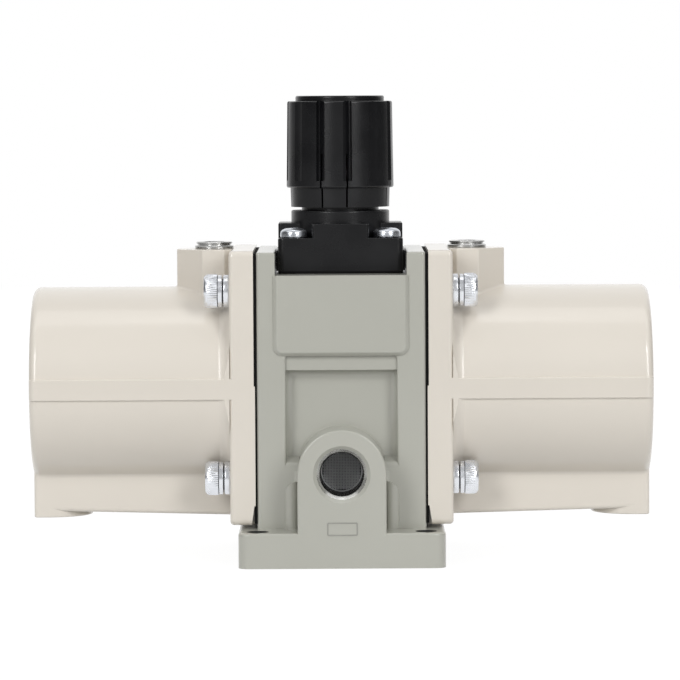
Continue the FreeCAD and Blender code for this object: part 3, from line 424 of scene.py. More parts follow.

# %% [markdown]
# The four mounting holes are drilled after painting too, and this mask darkens their insides with painted
# shade. They lie at the corners of a rectangle about the middle, so the absolute values of X and Y fold them
# onto one another, and one distance serves for all four.

# %% The mask of the mounting holes
def build_hole_mask():
    tree, given, out = new_group(
        "hole_mask", [("Corner", "Vector", (0, 0, 0)), ("Radius", "Float", 0.003)], [("Mask", "Float")])
    place = add(tree, "ShaderNodeTexCoord").outputs["Object"]
    folded = add(tree, "ShaderNodeVectorMath", {0: place}, operation="ABSOLUTE")
    shifted = add(tree, "ShaderNodeVectorMath", {0: folded.outputs[0], 1: given["Corner"]},
                  operation="SUBTRACT")
    flat = add(tree, "ShaderNodeVectorMath", {0: shifted.outputs[0], 1: (1, 1, 0)},
               operation="MULTIPLY").outputs[0]
    away = add(tree, "ShaderNodeVectorMath", {0: flat}, operation="LENGTH").outputs["Value"]
    tree.links.new(calculate(tree, "LESS_THAN", away, given["Radius"]), out["Mask"])
    return tree


hole_mask = build_hole_mask()
print("group", hole_mask.name, len(hole_mask.nodes), "nodes")

# %% [markdown]
# ## Materials
# Each material puts one skin group under a Principled shader. Numbers that are the same all over the
# surface, such as Metallic, stay on the shader's own sockets.

# %% A helper for materials
def new_material(name, skin, settings, **shader_values):
    """A material whose colour, roughness and normal come from a skin group."""
    material = bpy.data.materials.new(name)
    material.use_nodes = True
    tree = material.node_tree
    shader = tree.nodes["Principled BSDF"]
    surface = add(tree, "ShaderNodeGroup", settings, node_tree=skin)
    for label, socket in (("Colour", "Base Color"), ("Roughness", "Roughness"), ("Normal", "Normal")):
        tree.links.new(surface.outputs[label], shader.inputs[socket])
    for key, value in shader_values.items():
        shader.inputs[key.replace("_", " ")].default_value = value
    material.diffuse_color = settings["Colour"]
    return material


# %% [markdown]
# The body is a satin grey-green and the covers a satin warm off-white. Both are enamel under a thin clear
# coat. The small name frame has a darker enamel without the coat; its darkness is painted shade on the
# frame's raised lines.

# %% Painted castings
BODY_GREY = (0.455, 0.455, 0.405, 1)
# Painted shade: this darker grey stands for the shade on the name frame's raised lines.
FRAME_SHADE_GREY = (0.33, 0.33, 0.3, 1)
COVER_CREAM = (0.75, 0.7, 0.625, 1)
COAT = 0.6
COAT_BLUR = 0.08

body_enamel = new_material("body_enamel", enamel_skin, {"Colour": BODY_GREY, "Roughness": 0.32},
                           Coat_Weight=COAT, Coat_Roughness=COAT_BLUR)
cover_enamel = new_material("cover_enamel", enamel_skin,
                            {"Colour": COVER_CREAM, "Roughness": 0.3, "Tint shift": 0.01},
                            Coat_Weight=COAT, Coat_Roughness=COAT_BLUR)
frame_shade_enamel = new_material("frame_shade_enamel", enamel_skin, {"Colour": FRAME_SHADE_GREY, "Roughness": 0.4})
print("enamels", body_enamel.name, cover_enamel.name, frame_shade_enamel.name)

# %% [markdown]
# The body is one CAD node, so its bare port rims and its dark holes can't have materials of their own.
# Masks blend its enamel to machined metal inside each port's chamfer, and to a dark colour inside the bores
# and holes, which is painted shade. The exhaust port is only at the back, so its mask starts at the middle.

# %% Bare ports and dark holes in the body's enamel
CAST_METAL = (0.8, 0.8, 0.78, 1)
CAST_STRETCH = (0.3, 2.5, 0.3)
CAST_ROUGHNESS = 0.22
# Painted shade: the insides of the port bores and mounting holes are darkened to this colour.
BORE_SHADE_DARK = (0.03, 0.03, 0.03, 1)
IN_PORT_Z = 24 * MM
EXHAUST_PORT_Z = 64 * MM
BOTH_SIDES = -1.0
BACK_ONLY = 0.0
BARE_R = 6.55 * MM
BORE_R = 5.8 * MM
HOLE_CORNER = (21.5 * MM, 33 * MM, 0)
HOLE_R = 2.8 * MM


def ports_within(tree, radius):
    """One inside the given radius about either port's axis."""
    masks = [add(tree, "ShaderNodeGroup", {"Height": height, "Radius": radius, "From Y": from_y},
                 node_tree=port_mask).outputs["Mask"]
             for height, from_y in ((IN_PORT_Z, BOTH_SIDES), (EXHAUST_PORT_Z, BACK_ONLY))]
    return calculate(tree, "MAXIMUM", *masks)


def bare_the_ports(material):
    """Blends the enamel to machined metal in port rims, and to dark painted shade in the bores and holes."""
    tree = material.node_tree
    shader = tree.nodes["Principled BSDF"]
    bare = ports_within(tree, BARE_R)
    metal = add(tree, "ShaderNodeGroup", {"Colour": CAST_METAL, "Stretch": CAST_STRETCH,
                                          "Roughness": CAST_ROUGHNESS}, node_tree=metal_skin).outputs
    for socket, label, kind, first, result in (("Base Color", "Colour", "RGBA", 6, 2),
                                               ("Roughness", "Roughness", "FLOAT", 2, 0),
                                               ("Normal", "Normal", "VECTOR", 4, 1)):
        painted = shader.inputs[socket].links[0].from_socket
        mix = add(tree, "ShaderNodeMix", {0: bare, first: painted, first + 1: metal[label]}, data_type=kind)
        tree.links.new(mix.outputs[result], shader.inputs[socket])
    tree.links.new(bare, shader.inputs["Metallic"])
    holes = add(tree, "ShaderNodeGroup", {"Corner": HOLE_CORNER, "Radius": HOLE_R}, node_tree=hole_mask)
    drilled = calculate(tree, "MAXIMUM", ports_within(tree, BORE_R), holes.outputs["Mask"])
    coloured = shader.inputs["Base Color"].links[0].from_socket
    darkened = add(tree, "ShaderNodeMix", {0: drilled, 6: coloured, 7: BORE_SHADE_DARK}, data_type="RGBA")
    tree.links.new(darkened.outputs[2], shader.inputs["Base Color"])
    tree.links.new(calculate(tree, "MULTIPLY_ADD", bare, -COAT, COAT), shader.inputs["Coat Weight"])


bare_the_ports(body_enamel)
print("bare within", round(BARE_R / MM, 2), "mm, dark within", round(BORE_R / MM, 2), "mm")

# %% [markdown]
# The bonnet and the knob are black moulded plastic with a low sheen. The gaskets and the diaphragm are matt
# sheet rubber, the seals a smoother rubber, and the wear rings and valve seats a cream plastic.

# %% Plastics and rubbers
black_moulding = new_material("black_moulding", moulded_skin,
                              {"Colour": (0.0055, 0.0056, 0.0066, 1), "Roughness": 0.27},
                              Specular_IOR_Level=0.38)
sheet_rubber = new_material("sheet_rubber", moulded_skin,
                            {"Colour": (0.004, 0.004, 0.004, 1), "Roughness": 0.85, "Grain scale": 2600.0,
                             "Grain height": 0.00001}, Specular_IOR_Level=0.15)
seal_rubber = new_material("seal_rubber", moulded_skin,
                           {"Colour": (0.02, 0.02, 0.02, 1), "Roughness": 0.5, "Grain height": 0.000003})
cream_moulding = new_material("cream_moulding", moulded_skin,
                              {"Colour": (0.8, 0.76, 0.62, 1), "Roughness": 0.45, "Bloom": 0.03})
print("plastics and rubbers", black_moulding.name, sheet_rubber.name, seal_rubber.name, cream_moulding.name)

# %% [markdown]
# The screws are zinc plated, bright and a little blue. The gauge plugs are plainer plated steel and the gauze
# is dull wire. The narrow slots of the screw heads and the crests in the ports are dark with painted shade.

# %% Metals
TURNED_STRETCH = (2.5, 0.4, 0.4)

zinc_plate = new_material("zinc_plate", metal_skin,
                          {"Colour": (0.79, 0.81, 0.85, 1), "Roughness": 0.25, "Cloud": 0.03,
                           "Mark height": 0.0000003}, Metallic=0.85)
bright_zinc = new_material("bright_zinc", metal_skin, {"Colour": (0.74, 0.77, 0.82, 1), "Roughness": 0.26},
                           Metallic=1.0)
plug_plate = new_material("plug_plate", metal_skin,
                          {"Colour": (0.64, 0.64, 0.63, 1), "Roughness": 0.26, "Mark height": 0.000001},
                          Metallic=1.0)
wire_cloth = new_material("wire_cloth", metal_skin,
                          {"Colour": (0.4, 0.405, 0.41, 1), "Roughness": 0.5}, Metallic=0.6)
ground_steel = new_material("ground_steel", metal_skin,
                            {"Colour": (0.75, 0.76, 0.78, 1), "Roughness": 0.14, "Cloud": 0.02,
                             "Mark height": 0.000001}, Metallic=1.0)
spring_wire = new_material("spring_wire", metal_skin,
                           {"Colour": (0.35, 0.35, 0.36, 1), "Roughness": 0.32}, Metallic=1.0)
turned_brass = new_material("turned_brass", metal_skin,
                            {"Colour": (0.78, 0.6, 0.27, 1), "Roughness": 0.25, "Stretch": TURNED_STRETCH},
                            Metallic=1.0)
turned_aluminium = new_material("turned_aluminium", metal_skin,
                                {"Colour": (0.75, 0.76, 0.77, 1), "Roughness": 0.3,
                                 "Stretch": TURNED_STRETCH}, Metallic=1.0)
# Painted shade: a dark steel for the narrow slots of the screw heads.
slot_shade_steel = new_material("slot_shade_steel", metal_skin, {"Colour": (0.05, 0.05, 0.055, 1), "Roughness": 0.5})
# Painted shade: the port threads are dark to stand for the shade inside the bores.
port_shade_metal = new_material("port_shade_metal", metal_skin, {"Colour": (0.17, 0.168, 0.165, 1), "Roughness": 0.2},
                          Metallic=1.0)
print("materials", len(bpy.data.materials))

# %% [markdown]
# ## Dress the CAD pieces
# The record says which material slot each node belongs to. One small table turns slots into the materials
# above, and every node gets its material by assignment, without touching its mesh.

# %% Assign materials to the nodes
SLOT_MATERIALS = {
    "casting_paint": body_enamel, "cover_paint": cover_enamel, "gasket_rubber": sheet_rubber,
    "black_plastic": black_moulding, "zinc_steel": zinc_plate, "plug_steel": plug_plate,
    "gauze_steel": wire_cloth, "bright_steel": ground_steel, "spring_steel": spring_wire,
    "brass": turned_brass, "aluminium": turned_aluminium, "seal_rubber": seal_rubber,
    "cream_plastic": cream_moulding,
}
for row in frame["record"]["subparts"]:
    node = frame["nodes"][row["node"]]
    node.data.materials.clear()
    node.data.materials.append(SLOT_MATERIALS[row["material_slot"]])

# %% [markdown]
# ## Tools for small turned pieces
# Screws, plugs and washers are turned parts, so they start as a profile that is spun about +Z at the
# origin. The helpers below spin a profile, sink a hexagon socket into an open rim, and finish a bmesh as an
# object. Sizes are written in millimetres and scaled when the mesh is finished.

# %% Helpers for turned pieces
def is_vert(item):
    return isinstance(item, bmesh.types.BMVert)


def is_edge(item):
    return isinstance(item, bmesh.types.BMEdge)


def everything(work):
    return list(work.verts) + list(work.edges) + list(work.faces)


def turned(profile, steps):
    """Spins a profile of (height, radius) points about +Z."""
    work = bmesh.new()
    points = [work.verts.new((radius, 0, height)) for height, radius in profile]
    edges = [work.edges.new(pair) for pair in zip(points, points[1:])]
    bmesh.ops.spin(work, geom=points + edges, cent=(0, 0, 0), axis=(0, 0, 1), dvec=(0, 0, 0),
                   angle=2 * math.pi, steps=steps, use_merge=True, use_normal_flip=False, use_duplicate=False)
    bmesh.ops.remove_doubles(work, verts=work.verts, dist=1e-4)
    return work


def sink_hexagon(work, across, depth):
    """Closes the open rim round a hexagon, and sinks the hexagon to a shallow cone at the depth."""
    rim = [edge for edge in work.edges if edge.is_boundary]
    top = rim[0].verts[0].co.z
    corners = bmesh.ops.create_circle(work, segments=6, radius=across / math.sqrt(3),
                                      matrix=Matrix.Translation((0, 0, top)))["verts"]
    outline = list({edge for corner in corners for edge in corner.link_edges})
    bmesh.ops.triangle_fill(work, edges=rim + outline, use_beauty=True, normal=(0, 0, 1))
    walls = bmesh.ops.extrude_edge_only(work, edges=outline)["geom"]
    bmesh.ops.translate(work, verts=[item for item in walls if is_vert(item)], vec=(0, 0, -depth))
    cone = bmesh.ops.extrude_edge_only(work, edges=[item for item in walls if is_edge(item)])["geom"]
    tip = [item for item in cone if is_vert(item)]
    bmesh.ops.pointmerge(work, verts=tip, merge_co=(0, 0, top - depth - 0.25 * across))


def copies(work, moves):
    """Repeats the whole bmesh once for each matrix and removes the original."""
    first = everything(work)
    for move in moves:
        made = bmesh.ops.duplicate(work, geom=first)["geom"]
        bmesh.ops.transform(work, matrix=move, verts=[item for item in made if is_vert(item)])
    bmesh.ops.delete(work, geom=[item for item in first if is_vert(item)], context="VERTS")


def finished(name, work, material, sharp_degrees=32, body="housing", second=None):
    """Turns a bmesh in millimetres into an object that rides on a body, or on none.
    Faces of material index 1 get the second material."""
    bmesh.ops.scale(work, vec=(MM, MM, MM), verts=work.verts)
    bmesh.ops.recalc_face_normals(work, faces=work.faces)
    mesh = bpy.data.meshes.new(name)
    work.to_mesh(mesh)
    work.free()
    mesh.polygons.foreach_set("use_smooth", [True] * len(mesh.polygons))
    mesh.set_sharp_from_angle(angle=math.radians(sharp_degrees))
    mesh.materials.append(material)
    if second:
        mesh.materials.append(second)
    piece = bpy.data.objects.new(name, mesh)
    bpy.context.scene.collection.objects.link(piece)
    if body:
        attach(piece, body)
    print(name, len(mesh.polygons), "faces")
    return piece


# %% [markdown]
# ## Cover screws
# Four socket head cap screws hold each cover. The screws of the two sides mirror each other, so one set of
# places serves for both. It is read from the CAD screws and washers that the new pieces stand for.

# %% Places of the cover screws, read from the frame
HEAD_R = 4.36
screw_low, screw_high = (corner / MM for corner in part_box("right_cover_screws"))
head_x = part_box("right_spring_washers")[1].x / MM
washer_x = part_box("right_spring_washers")[0].x / MM
head_h = screw_high.x - head_x
shank_h = head_x - screw_low.x
SCREW_PLACES = [(y, z) for y in (screw_low.y + HEAD_R, screw_high.y - HEAD_R)
                for z in (screw_low.z + HEAD_R, screw_high.z - HEAD_R)]
print("head", round(head_h, 2), "mm, shank", round(shank_h, 2), "mm, screws on a side:", len(SCREW_PLACES))


def along_x(x, y, z, side, turn=0.0):
    """A placement that turns +Z to +X on the right side, or to -X on the left, with a turn about the axis."""
    face = Matrix.Rotation(side * math.pi / 2, 4, "Y")
    return Matrix.Translation((side * x, y, z)) @ face @ Matrix.Rotation(math.radians(turn), 4, "Z")


# %% [markdown]
# Such a head has a chamfered rim, a straight knurl that gives fingers a grip, and a plain band just above
# the bearing face. The knurl is made by spinning the profile in twice as many steps as there are teeth, and
# then drawing every second line of the knurled band inwards. The narrow slots under the head and beside the
# knurl are darkened with painted shade, so their faces take a second material.

# %% One knurled cap screw
KNURL_TEETH = 52
KNURL_DEPTH = 0.13
PLAIN_H = 1.45
KNURL_FROM = PLAIN_H + 0.1
RIM_H = 0.95
NECK_R = HEAD_R - 0.12
EDGE = 0.1
SLOT_HALF = 0.06
SLOT_R = 4.05
BEARING_R = 3.1
BEARING_H = 0.3
SHANK_R = 2.45
SHANK_CHAMFER = 0.5
SOCKET_RIM_R = 2.75
SOCKET_ACROSS = 4.0
SOCKET_DEPTH = 2.5


def cap_screw():
    """A screw with its bearing face at height 0, its head above it and its shank below."""
    shank = [(-shank_h, 0), (-shank_h, SHANK_R - SHANK_CHAMFER), (-shank_h + SHANK_CHAMFER, SHANK_R),
             (0, SHANK_R)]
    neck = [(0, BEARING_R), (BEARING_H, BEARING_R), (BEARING_H, NECK_R - EDGE), (BEARING_H + EDGE, NECK_R)]
    slot = [(PLAIN_H - 2 * SLOT_HALF, NECK_R), (PLAIN_H - SLOT_HALF, SLOT_R), (PLAIN_H + SLOT_HALF, SLOT_R),
            (PLAIN_H + 2 * SLOT_HALF, HEAD_R)]
    knurl_top = head_h - RIM_H
    rim = [(knurl_top, HEAD_R), (knurl_top + EDGE, HEAD_R - EDGE), (head_h - 0.5, NECK_R),
           (head_h - 0.08, HEAD_R - 0.52), (head_h, HEAD_R - 0.75), (head_h, SOCKET_RIM_R)]
    work = turned(shank + neck + slot + rim, 2 * KNURL_TEETH)
    half_step = math.pi / KNURL_TEETH
    grooves = [vert for vert in work.verts
               if KNURL_FROM < vert.co.z < knurl_top + 0.01
               and round(math.atan2(vert.co.y, vert.co.x) / half_step) % 2]
    shrink = 1 - KNURL_DEPTH / HEAD_R
    bmesh.ops.scale(work, vec=(shrink, shrink, 1), verts=grooves)
    # Painted shade: faces in the narrow slots take the second, dark material.
    for face in work.faces:
        middle = face.calc_center_median()
        slot_floor = SLOT_R if middle.z > BEARING_H else BEARING_R
        face.material_index = int(0 < middle.z < KNURL_FROM and middle.xy.length < slot_floor + 0.05)
    sink_hexagon(work, SOCKET_ACROSS, SOCKET_DEPTH)
    return work


SOCKET_TURNS = (12, 41, 25, 3)
for side, name in ((-1, "left"), (1, "right")):
    work = cap_screw()
    copies(work, [along_x(head_x, y, z, side, turn) for (y, z), turn in zip(SCREW_PLACES, SOCKET_TURNS)])
    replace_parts(finished(name + "_cap_screws", work, zinc_plate, 24, second=slot_shade_steel),
                name + "_cover_screws")

# %% [markdown]
# ## Spring washers
# Under each head lies a split spring washer: square wire bent almost to a full ring. A square profile is
# spun through a little less than a full turn, which leaves the split, and its long edges are bevelled as
# the rolled wire is rounded. The splits face different ways, because the washers turn as the screws are
# tightened.

# %% Split washers
WASHER_SPLIT_DEG = 13
WASHER_OUT_R = HEAD_R - 0.1
WASHER_IN_R = 2.6
WASHER_EDGE_R = 0.3
WASHER_STEPS = 60
SPLIT_TURNS = {-1: (118, 64, 205, 250), 1: (96, 172, 245, 290)}
washer_h = head_x - washer_x


def split_washer():
    work = bmesh.new()
    corners = [work.verts.new((radius, 0, height)) for radius, height in
               ((WASHER_IN_R, 0), (WASHER_OUT_R, 0), (WASHER_OUT_R, washer_h), (WASHER_IN_R, washer_h))]
    work.faces.new(corners)
    bmesh.ops.bevel(work, geom=corners, offset=WASHER_EDGE_R, offset_type="OFFSET", segments=4, profile=0.5,
                    material=-1, affect="VERTICES")
    section = list(work.faces) + list(work.edges) + list(work.verts)
    bmesh.ops.spin(work, geom=section, cent=(0, 0, 0), axis=(0, 0, 1), dvec=(0, 0, 0),
                   angle=math.radians(360 - WASHER_SPLIT_DEG), steps=WASHER_STEPS, use_merge=False,
                   use_normal_flip=False, use_duplicate=False)
    return work


for side, name in ((-1, "left"), (1, "right")):
    work = split_washer()
    copies(work, [along_x(washer_x, y, z, side, turn)
                  for (y, z), turn in zip(SCREW_PLACES, SPLIT_TURNS[side])])
    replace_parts(finished(name + "_split_washers", work, zinc_plate), name + "_spring_washers")

# %% [markdown]
# ## Gauge plugs
# A taper plug closes the gauge port on top of each cover. What shows is a bright rim with a hexagon socket,
# a dark groove below it, and a wider collar on the boss. The thread below is a triangle that is spun round
# the plug while it sinks by the pitch on each turn, with dvec giving the sink for each step.

# %% Helper for a helical ridge
def helical_ridge(work, section, pitch, turns, steps_per_turn=48):
    """Adds a closed ridge: a section of (radius, height) points spun about +Z while it sinks."""
    corners = [work.verts.new((radius, 0, height)) for radius, height in section]
    face = work.faces.new(corners)
    geometry = [face] + list(face.edges) + corners
    steps = round(turns * steps_per_turn)
    bmesh.ops.spin(work, geom=geometry, cent=(0, 0, 0), axis=(0, 0, 1),
                   dvec=(0, 0, -pitch / steps_per_turn), angle=2 * math.pi * turns, steps=steps,
                   use_merge=False, use_normal_flip=False, use_duplicate=False)


# %% Plugs with thread and socket
PLUG_PITCH = 0.907
PLUG_TURNS = 6
PLUG_RIM_R = 4.72
PLUG_THREAD_R = 5.02
PLUG_COLLAR_R = 5.12
PLUG_COLLAR_LOW = 1.82
PLUG_CORE_R = 4.35
PLUG_SOCKET_RIM_R = 3.3
PLUG_SOCKET_ACROSS = 5.0
PLUG_SOCKET_DEPTH = 4.0


def gauge_plug(top, low):
    collar_z = top - PLUG_COLLAR_LOW
    core = [(low, 0), (low, PLUG_CORE_R - 0.5), (low + 0.4, PLUG_CORE_R), (collar_z, PLUG_CORE_R)]
    collar = [(collar_z, PLUG_COLLAR_R - 0.1), (top - 1.7, PLUG_COLLAR_R), (top - 1.15, PLUG_COLLAR_R),
              (top - 0.95, PLUG_COLLAR_R - 0.25)]
    groove = [(top - 0.9, PLUG_CORE_R), (top - 0.6, PLUG_CORE_R)]
    rim = [(top - 0.5, PLUG_RIM_R - 0.1), (top - 0.42, PLUG_RIM_R), (top - 0.15, PLUG_RIM_R),
           (top - 0.04, PLUG_RIM_R - 0.12), (top, PLUG_RIM_R - 0.35), (top, PLUG_SOCKET_RIM_R)]
    work = turned(core + collar + groove + rim, 72)
    sink_hexagon(work, PLUG_SOCKET_ACROSS, PLUG_SOCKET_DEPTH)
    start = collar_z - 0.4
    foot_r = PLUG_CORE_R - 0.05
    helical_ridge(work, [(foot_r, start - 0.36), (PLUG_THREAD_R, start - 0.06), (PLUG_THREAD_R, start + 0.06),
                         (foot_r, start + 0.36)], PLUG_PITCH, PLUG_TURNS)
    return work


for name, turn in (("left", 17), ("right", 49)):
    low, high = (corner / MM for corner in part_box(name + "_gauge_plug"))
    work = gauge_plug(high.z, low.z)
    place = Matrix.Translation(((low.x + high.x) / 2, 0, 0))
    copies(work, [place @ Matrix.Rotation(math.radians(turn), 4, "Z")])
    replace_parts(finished(name + "_plug", work, plug_plate, 24), name + "_gauge_plug")

# %% [markdown]
# ## Governor screws
# Four pan head screws with cross recesses sit in the corner pockets of the black bonnet. The head is spun
# from a domed profile. The recess is cut with a Boolean by a cross-shaped cutter, whose result is kept as a
# plain mesh, because a driver's recess is too sharp and deep for an inset.

# %% The cutter and the cut
PAN_H = 2.5
CROSS_SPAN = 3.9
CROSS_W = 0.95
CROSS_DEPTH = 1.7
CROSS_TAPER = (0.62, 0.7, 1)


def cross_cutter():
    """Two crossed wedges that narrow downwards from above the dome."""
    work = bmesh.new()
    for turn in (0, 90):
        made = bmesh.ops.create_cube(work, size=1)["verts"]
        bmesh.ops.scale(work, vec=(CROSS_SPAN, CROSS_W, 2 * CROSS_DEPTH), verts=made)
        bmesh.ops.scale(work, vec=CROSS_TAPER, verts=[vert for vert in made if vert.co.z < 0])
        bmesh.ops.rotate(work, cent=(0, 0, 0), matrix=Matrix.Rotation(math.radians(turn), 3, "Z"), verts=made)
        bmesh.ops.translate(work, vec=(0, 0, PAN_H), verts=made)
    return work


def cut_away(work, cutter):
    """Subtracts one bmesh from another with a Boolean modifier, and returns the result as a new bmesh."""
    meshes = []
    for part in (work, cutter):
        bmesh.ops.recalc_face_normals(part, faces=part.faces)
        mesh = bpy.data.meshes.new("cutting")
        part.to_mesh(mesh)
        part.free()
        meshes.append(mesh)
    things = [bpy.data.objects.new("cutting", mesh) for mesh in meshes]
    for thing in things:
        bpy.context.scene.collection.objects.link(thing)
    step = things[0].modifiers.new("cut", "BOOLEAN")
    step.operation, step.solver, step.use_self, step.object = "DIFFERENCE", "EXACT", True, things[1]
    result = bmesh.new()
    result.from_object(things[0], bpy.context.evaluated_depsgraph_get())
    for thing, mesh in zip(things, meshes):
        bpy.data.objects.remove(thing)
        bpy.data.meshes.remove(mesh)
    return result


# %% Pan heads with a cross recess
PAN_R = 3.5
PAN_DOME = 1.35
PAN_ROUND = 1.9
PAN_SHANK_R = 1.95
DOME_STEP_DEG = 15
CAD_HEAD_H = 2.2
CROSS_TURNS = (8, 33, 62, 20)


def pan_screw(shank):
    """A screw with its bearing face at height 0 and a shank of the given length below."""
    corner_h = PAN_H - PAN_DOME
    profile = [(-shank, 0), (-shank, 1.6), (-shank + 0.4, PAN_SHANK_R), (0, PAN_SHANK_R), (0, PAN_R - 0.25),
               (0.3, PAN_R)]
    for step in range(90 // DOME_STEP_DEG + 1):
        angle = math.radians(DOME_STEP_DEG * step)
        profile.append((corner_h + PAN_DOME * math.sin(angle),
                        PAN_R - PAN_ROUND + PAN_ROUND * math.cos(angle)))
    profile.append((PAN_H + 0.06, 1.2))
    profile.append((PAN_H + 0.08, 0))
    return cut_away(turned(profile, 64), cross_cutter())


pan_low, pan_high = (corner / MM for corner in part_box("bonnet_screws"))
seat_z = pan_high.z - CAD_HEAD_H
reach = pan_high.x - PAN_R
pockets = [(x, y) for y in (-reach, reach) for x in (-reach, reach)]
work = pan_screw(seat_z - pan_low.z)
copies(work, [Matrix.Translation((x, y, seat_z)) @ Matrix.Rotation(math.radians(turn), 4, "Z")
              for (x, y), turn in zip(pockets, CROSS_TURNS)])
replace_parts(finished("governor_screws", work, bright_zinc, 30), "bonnet_screws")

# %% [markdown]
# ## Springs inside the governor
# The two springs keep one end still while the other is pushed. Each is a copy of its CAD coil, with the
# loose triangles merged, that rides on the body given to it and keeps a mesh of its own.


def copied_node(node):
    """A node's mesh as a bmesh in millimetres, with its loose triangles merged."""
    work = bmesh.new()
    work.from_mesh(frame["nodes"][node].data)
    bmesh.ops.remove_doubles(work, verts=work.verts, dist=1e-7)
    bmesh.ops.scale(work, vec=(1 / MM, 1 / MM, 1 / MM), verts=work.verts)
    return work


def shortening_spring(name, node, body):
    piece = finished(name, copied_node(node), spring_wire, 40, body)
    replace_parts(piece, node)
    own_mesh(piece)


shortening_spring("setting_coil", "setting_spring", "governor")
shortening_spring("poppet_coil", "poppet_spring", "housing")

# %% [markdown]
# ## Diaphragm in sectors
# The diaphragm is clamped along its edge, and its middle moves down with the governor's plate. The sheet is
# cut into eight equal sectors about the axis, and each sector rides on no body. Cuts across each sector add
# points between the plate's rim and the edge of the cavity below.

# %% Eight sectors of the diaphragm
SECTORS = 8
BEND_END = 7.25
BEND_START = 9.4
BEND_CUTS = 6
ON_THE_PLANE = 1e-6


def bending_sector(number):
    work = copied_node("diaphragm")
    middle = 2 * math.pi * number / SECTORS
    along = Vector((math.cos(middle), math.sin(middle), 0))
    for side in (-1, 1):
        edge = middle + side * math.pi / SECTORS
        outwards = Vector((-math.sin(edge), math.cos(edge), 0)) * side
        bmesh.ops.bisect_plane(work, geom=everything(work), dist=ON_THE_PLANE, plane_co=(0, 0, 0),
                               plane_no=outwards, clear_outer=True)
        bmesh.ops.holes_fill(work, edges=[item for item in work.edges if item.is_boundary], sides=0)
    for step in range(BEND_CUTS + 1):
        place = along * (BEND_END + (BEND_START - BEND_END) * step / BEND_CUTS)
        bmesh.ops.bisect_plane(work, geom=everything(work), dist=ON_THE_PLANE, plane_co=place, plane_no=along)
    piece = finished(f"diaphragm_{number + 1}", work, sheet_rubber, 60, None)
    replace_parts(piece, "diaphragm")
    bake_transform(piece)


for number in range(SECTORS):
    bending_sector(number)

# %% [markdown]
# ## Port threads
# The three ports have taper pipe threads. In the frame each bore is plain, at the thread's core diameter,
# so the scene adds the crests: a low triangular ridge that winds inwards along the wall. It is spun about
# +Z like the plugs' thread, and then laid along the port's axis.

# %% Ridges in the three ports
PORT_R = 5.72
PORT_PITCH = 1.337
CREST = 0.34
PLAIN_START = 0.75
PLAIN_ENDS = 1.3
PORT_MOUTH = 36.4
EXHAUST_MOUTH = 25.6
THREAD_SECTION = [(PORT_R + 0.06, -0.6), (PORT_R + 0.06, 0.6), (PORT_R - CREST, 0.09),
                  (PORT_R - CREST, -0.09)]


def port_thread(name, height, mouth_y, length):
    """A ridge from near the mouth inwards; a positive mouth_y faces the back."""
    work = bmesh.new()
    helical_ridge(work, THREAD_SECTION, PORT_PITCH, (length - PLAIN_ENDS) / PORT_PITCH, 56)
    side = 1 if mouth_y > 0 else -1
    lay = Matrix.Rotation(-side * math.pi / 2, 4, "X")
    copies(work, [Matrix.Translation((0, mouth_y - side * PLAIN_START, height)) @ lay])
    finished(name, work, port_shade_metal, 24)


port_thread("in_port_thread", IN_PORT_Z / MM, -PORT_MOUTH, 9.6)
port_thread("out_port_thread", IN_PORT_Z / MM, PORT_MOUTH, 9.6)
port_thread("exhaust_port_thread", EXHAUST_PORT_Z / MM, EXHAUST_MOUTH, 9.4)

# %% [markdown]
# ## Inlet gauze
# A disc of woven wire at the bottom of the inlet port keeps dirt out. Each wire is a smooth curve that
# passes over and under the wires that cross it, with a round bevel, so a curve is the shortest way to make
# it. The curve becomes a mesh at the end, and a thin rim ring holds the wires' ends.

# %% Woven wires
GAUZE_PITCH = 0.4
WIRE_R = 0.125
WIRE_END = 0.25
LAST_WIRE = 0.6
gauze_low, gauze_high = (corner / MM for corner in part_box("inlet_screen"))
gauze_r = (gauze_high.x - gauze_low.x) / 2
gauze_z = (gauze_high.z + gauze_low.z) / 2
gauze_y = (gauze_high.y + gauze_low.y) / 2


def wire(curve, offset, flip, upright):
    """One wire of the weave, clipped to the disc."""
    half = math.sqrt((gauze_r - WIRE_END) ** 2 - offset ** 2)
    crossings = int(half / GAUZE_PITCH)
    spline = curve.splines.new("NURBS")
    spline.points.add(2 * crossings)
    for number, point in zip(range(-crossings, crossings + 1), spline.points):
        wave = WIRE_R * 0.95 * (1 if (number + flip) % 2 else -1)
        place = (offset, wave, number * GAUZE_PITCH) if upright else (number * GAUZE_PITCH, -wave, offset)
        point.co = (*place, 1)
    spline.order_u = 3
    spline.use_endpoint_u = True


def woven_disc():
    """The wires of the gauze as a bmesh in millimetres about the origin."""
    weave = bpy.data.curves.new("weave", "CURVE")
    weave.dimensions = "3D"
    weave.resolution_u = 3
    weave.bevel_depth = WIRE_R
    weave.bevel_resolution = 1
    weave.use_fill_caps = True
    lines = int((gauze_r - LAST_WIRE) / GAUZE_PITCH)
    for number in range(-lines, lines + 1):
        for upright in (False, True):
            wire(weave, number * GAUZE_PITCH, number, upright)
    weave_object = bpy.data.objects.new("weave", weave)
    bpy.context.scene.collection.objects.link(weave_object)
    work = bmesh.new()
    work.from_mesh(bpy.data.meshes.new_from_object(weave_object))
    bpy.data.objects.remove(weave_object)
    return work


# %% The rim ring and the finished gauze
RING_W = 0.3
RING_HALF = 0.18
RING_PLAY = 0.02


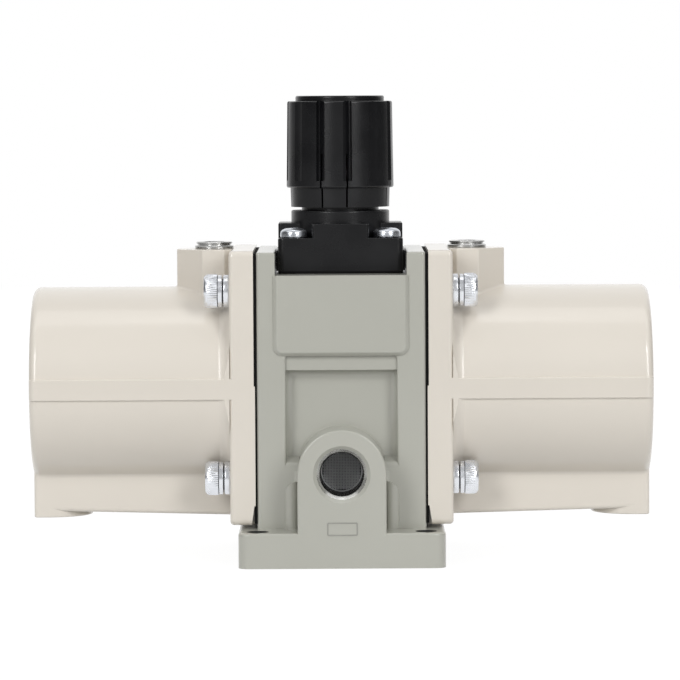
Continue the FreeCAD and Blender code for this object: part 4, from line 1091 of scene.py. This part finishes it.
def rim_ring():
    """A flat ring about the Y axis as a mesh in millimetres."""
    rim = bmesh.new()
    out_r = gauze_r - RING_PLAY
    section = [rim.verts.new((radius, 0, depth)) for radius, depth in
               ((out_r, -RING_HALF), (out_r, RING_HALF), (out_r - RING_W, RING_HALF),
                (out_r - RING_W, -RING_HALF))]
    face = rim.faces.new(section)
    bmesh.ops.spin(rim, geom=[face] + list(face.edges) + section, cent=(0, 0, 0), axis=(0, 0, 1),
                   dvec=(0, 0, 0), angle=2 * math.pi, steps=64, use_merge=True, use_normal_flip=False,
                   use_duplicate=False)
    bmesh.ops.rotate(rim, cent=(0, 0, 0), matrix=Matrix.Rotation(math.pi / 2, 3, "X"), verts=rim.verts)
    mesh = bpy.data.meshes.new("rim")
    rim.to_mesh(mesh)
    rim.free()
    return mesh


work = woven_disc()
work.from_mesh(rim_ring())
copies(work, [Matrix.Translation((0, gauze_y, gauze_z))])
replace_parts(finished("inlet_gauze", work, wire_cloth), "inlet_screen")

# %% [markdown]
# ## Blank name frame
# Under the inlet port the mould leaves a small rectangular frame for a mark. Here it stays blank. A face
# with rounded corners is inset, its middle is taken out, and the ring that is left is pulled out by a
# fraction of a millimetre, with its foot set a little into the casting.

# %% Raised frame on the front of the base
FRAME_W = 7.8
FRAME_H = 3.4
FRAME_CORNER_R = 0.35
FRAME_LINE = 0.3
FRAME_EDGE = 0.06
FRAME_PROUD = 0.15
FRAME_FOOT = 0.1
FRAME_X = 0.1
FRAME_Z = 10.1
frame_front = cad_low.y / MM


def name_frame():
    work = bmesh.new()
    corners = bmesh.ops.create_grid(work, x_segments=1, y_segments=1, size=0.5)["verts"]
    bmesh.ops.scale(work, vec=(FRAME_W, FRAME_H, 1), verts=corners)
    bmesh.ops.bevel(work, geom=corners, offset=FRAME_CORNER_R, offset_type="OFFSET", segments=4, profile=0.5,
                    material=-1, affect="VERTICES")
    middle = list(work.faces)
    bmesh.ops.inset_region(work, faces=middle, thickness=FRAME_LINE, use_boundary=True, use_even_offset=True)
    bmesh.ops.delete(work, geom=middle, context="FACES")
    line = bmesh.ops.extrude_face_region(work, geom=list(work.faces))["geom"]
    top = [item for item in line if is_vert(item)]
    bmesh.ops.translate(work, verts=top, vec=(0, 0, FRAME_PROUD + FRAME_FOOT))
    bmesh.ops.bevel(work, geom=[item for item in line if is_edge(item) and item.calc_face_angle(0) > 1],
                    offset=FRAME_EDGE, offset_type="OFFSET", segments=2, profile=0.5, material=-1,
                    affect="EDGES")
    return work


work = name_frame()
stand = Matrix.Rotation(math.pi / 2, 4, "X")
copies(work, [Matrix.Translation((FRAME_X, frame_front + FRAME_FOOT, FRAME_Z)) @ stand])
# The darker enamel is painted shade on the frame's raised lines.
finished("name_frame", work, frame_shade_enamel)
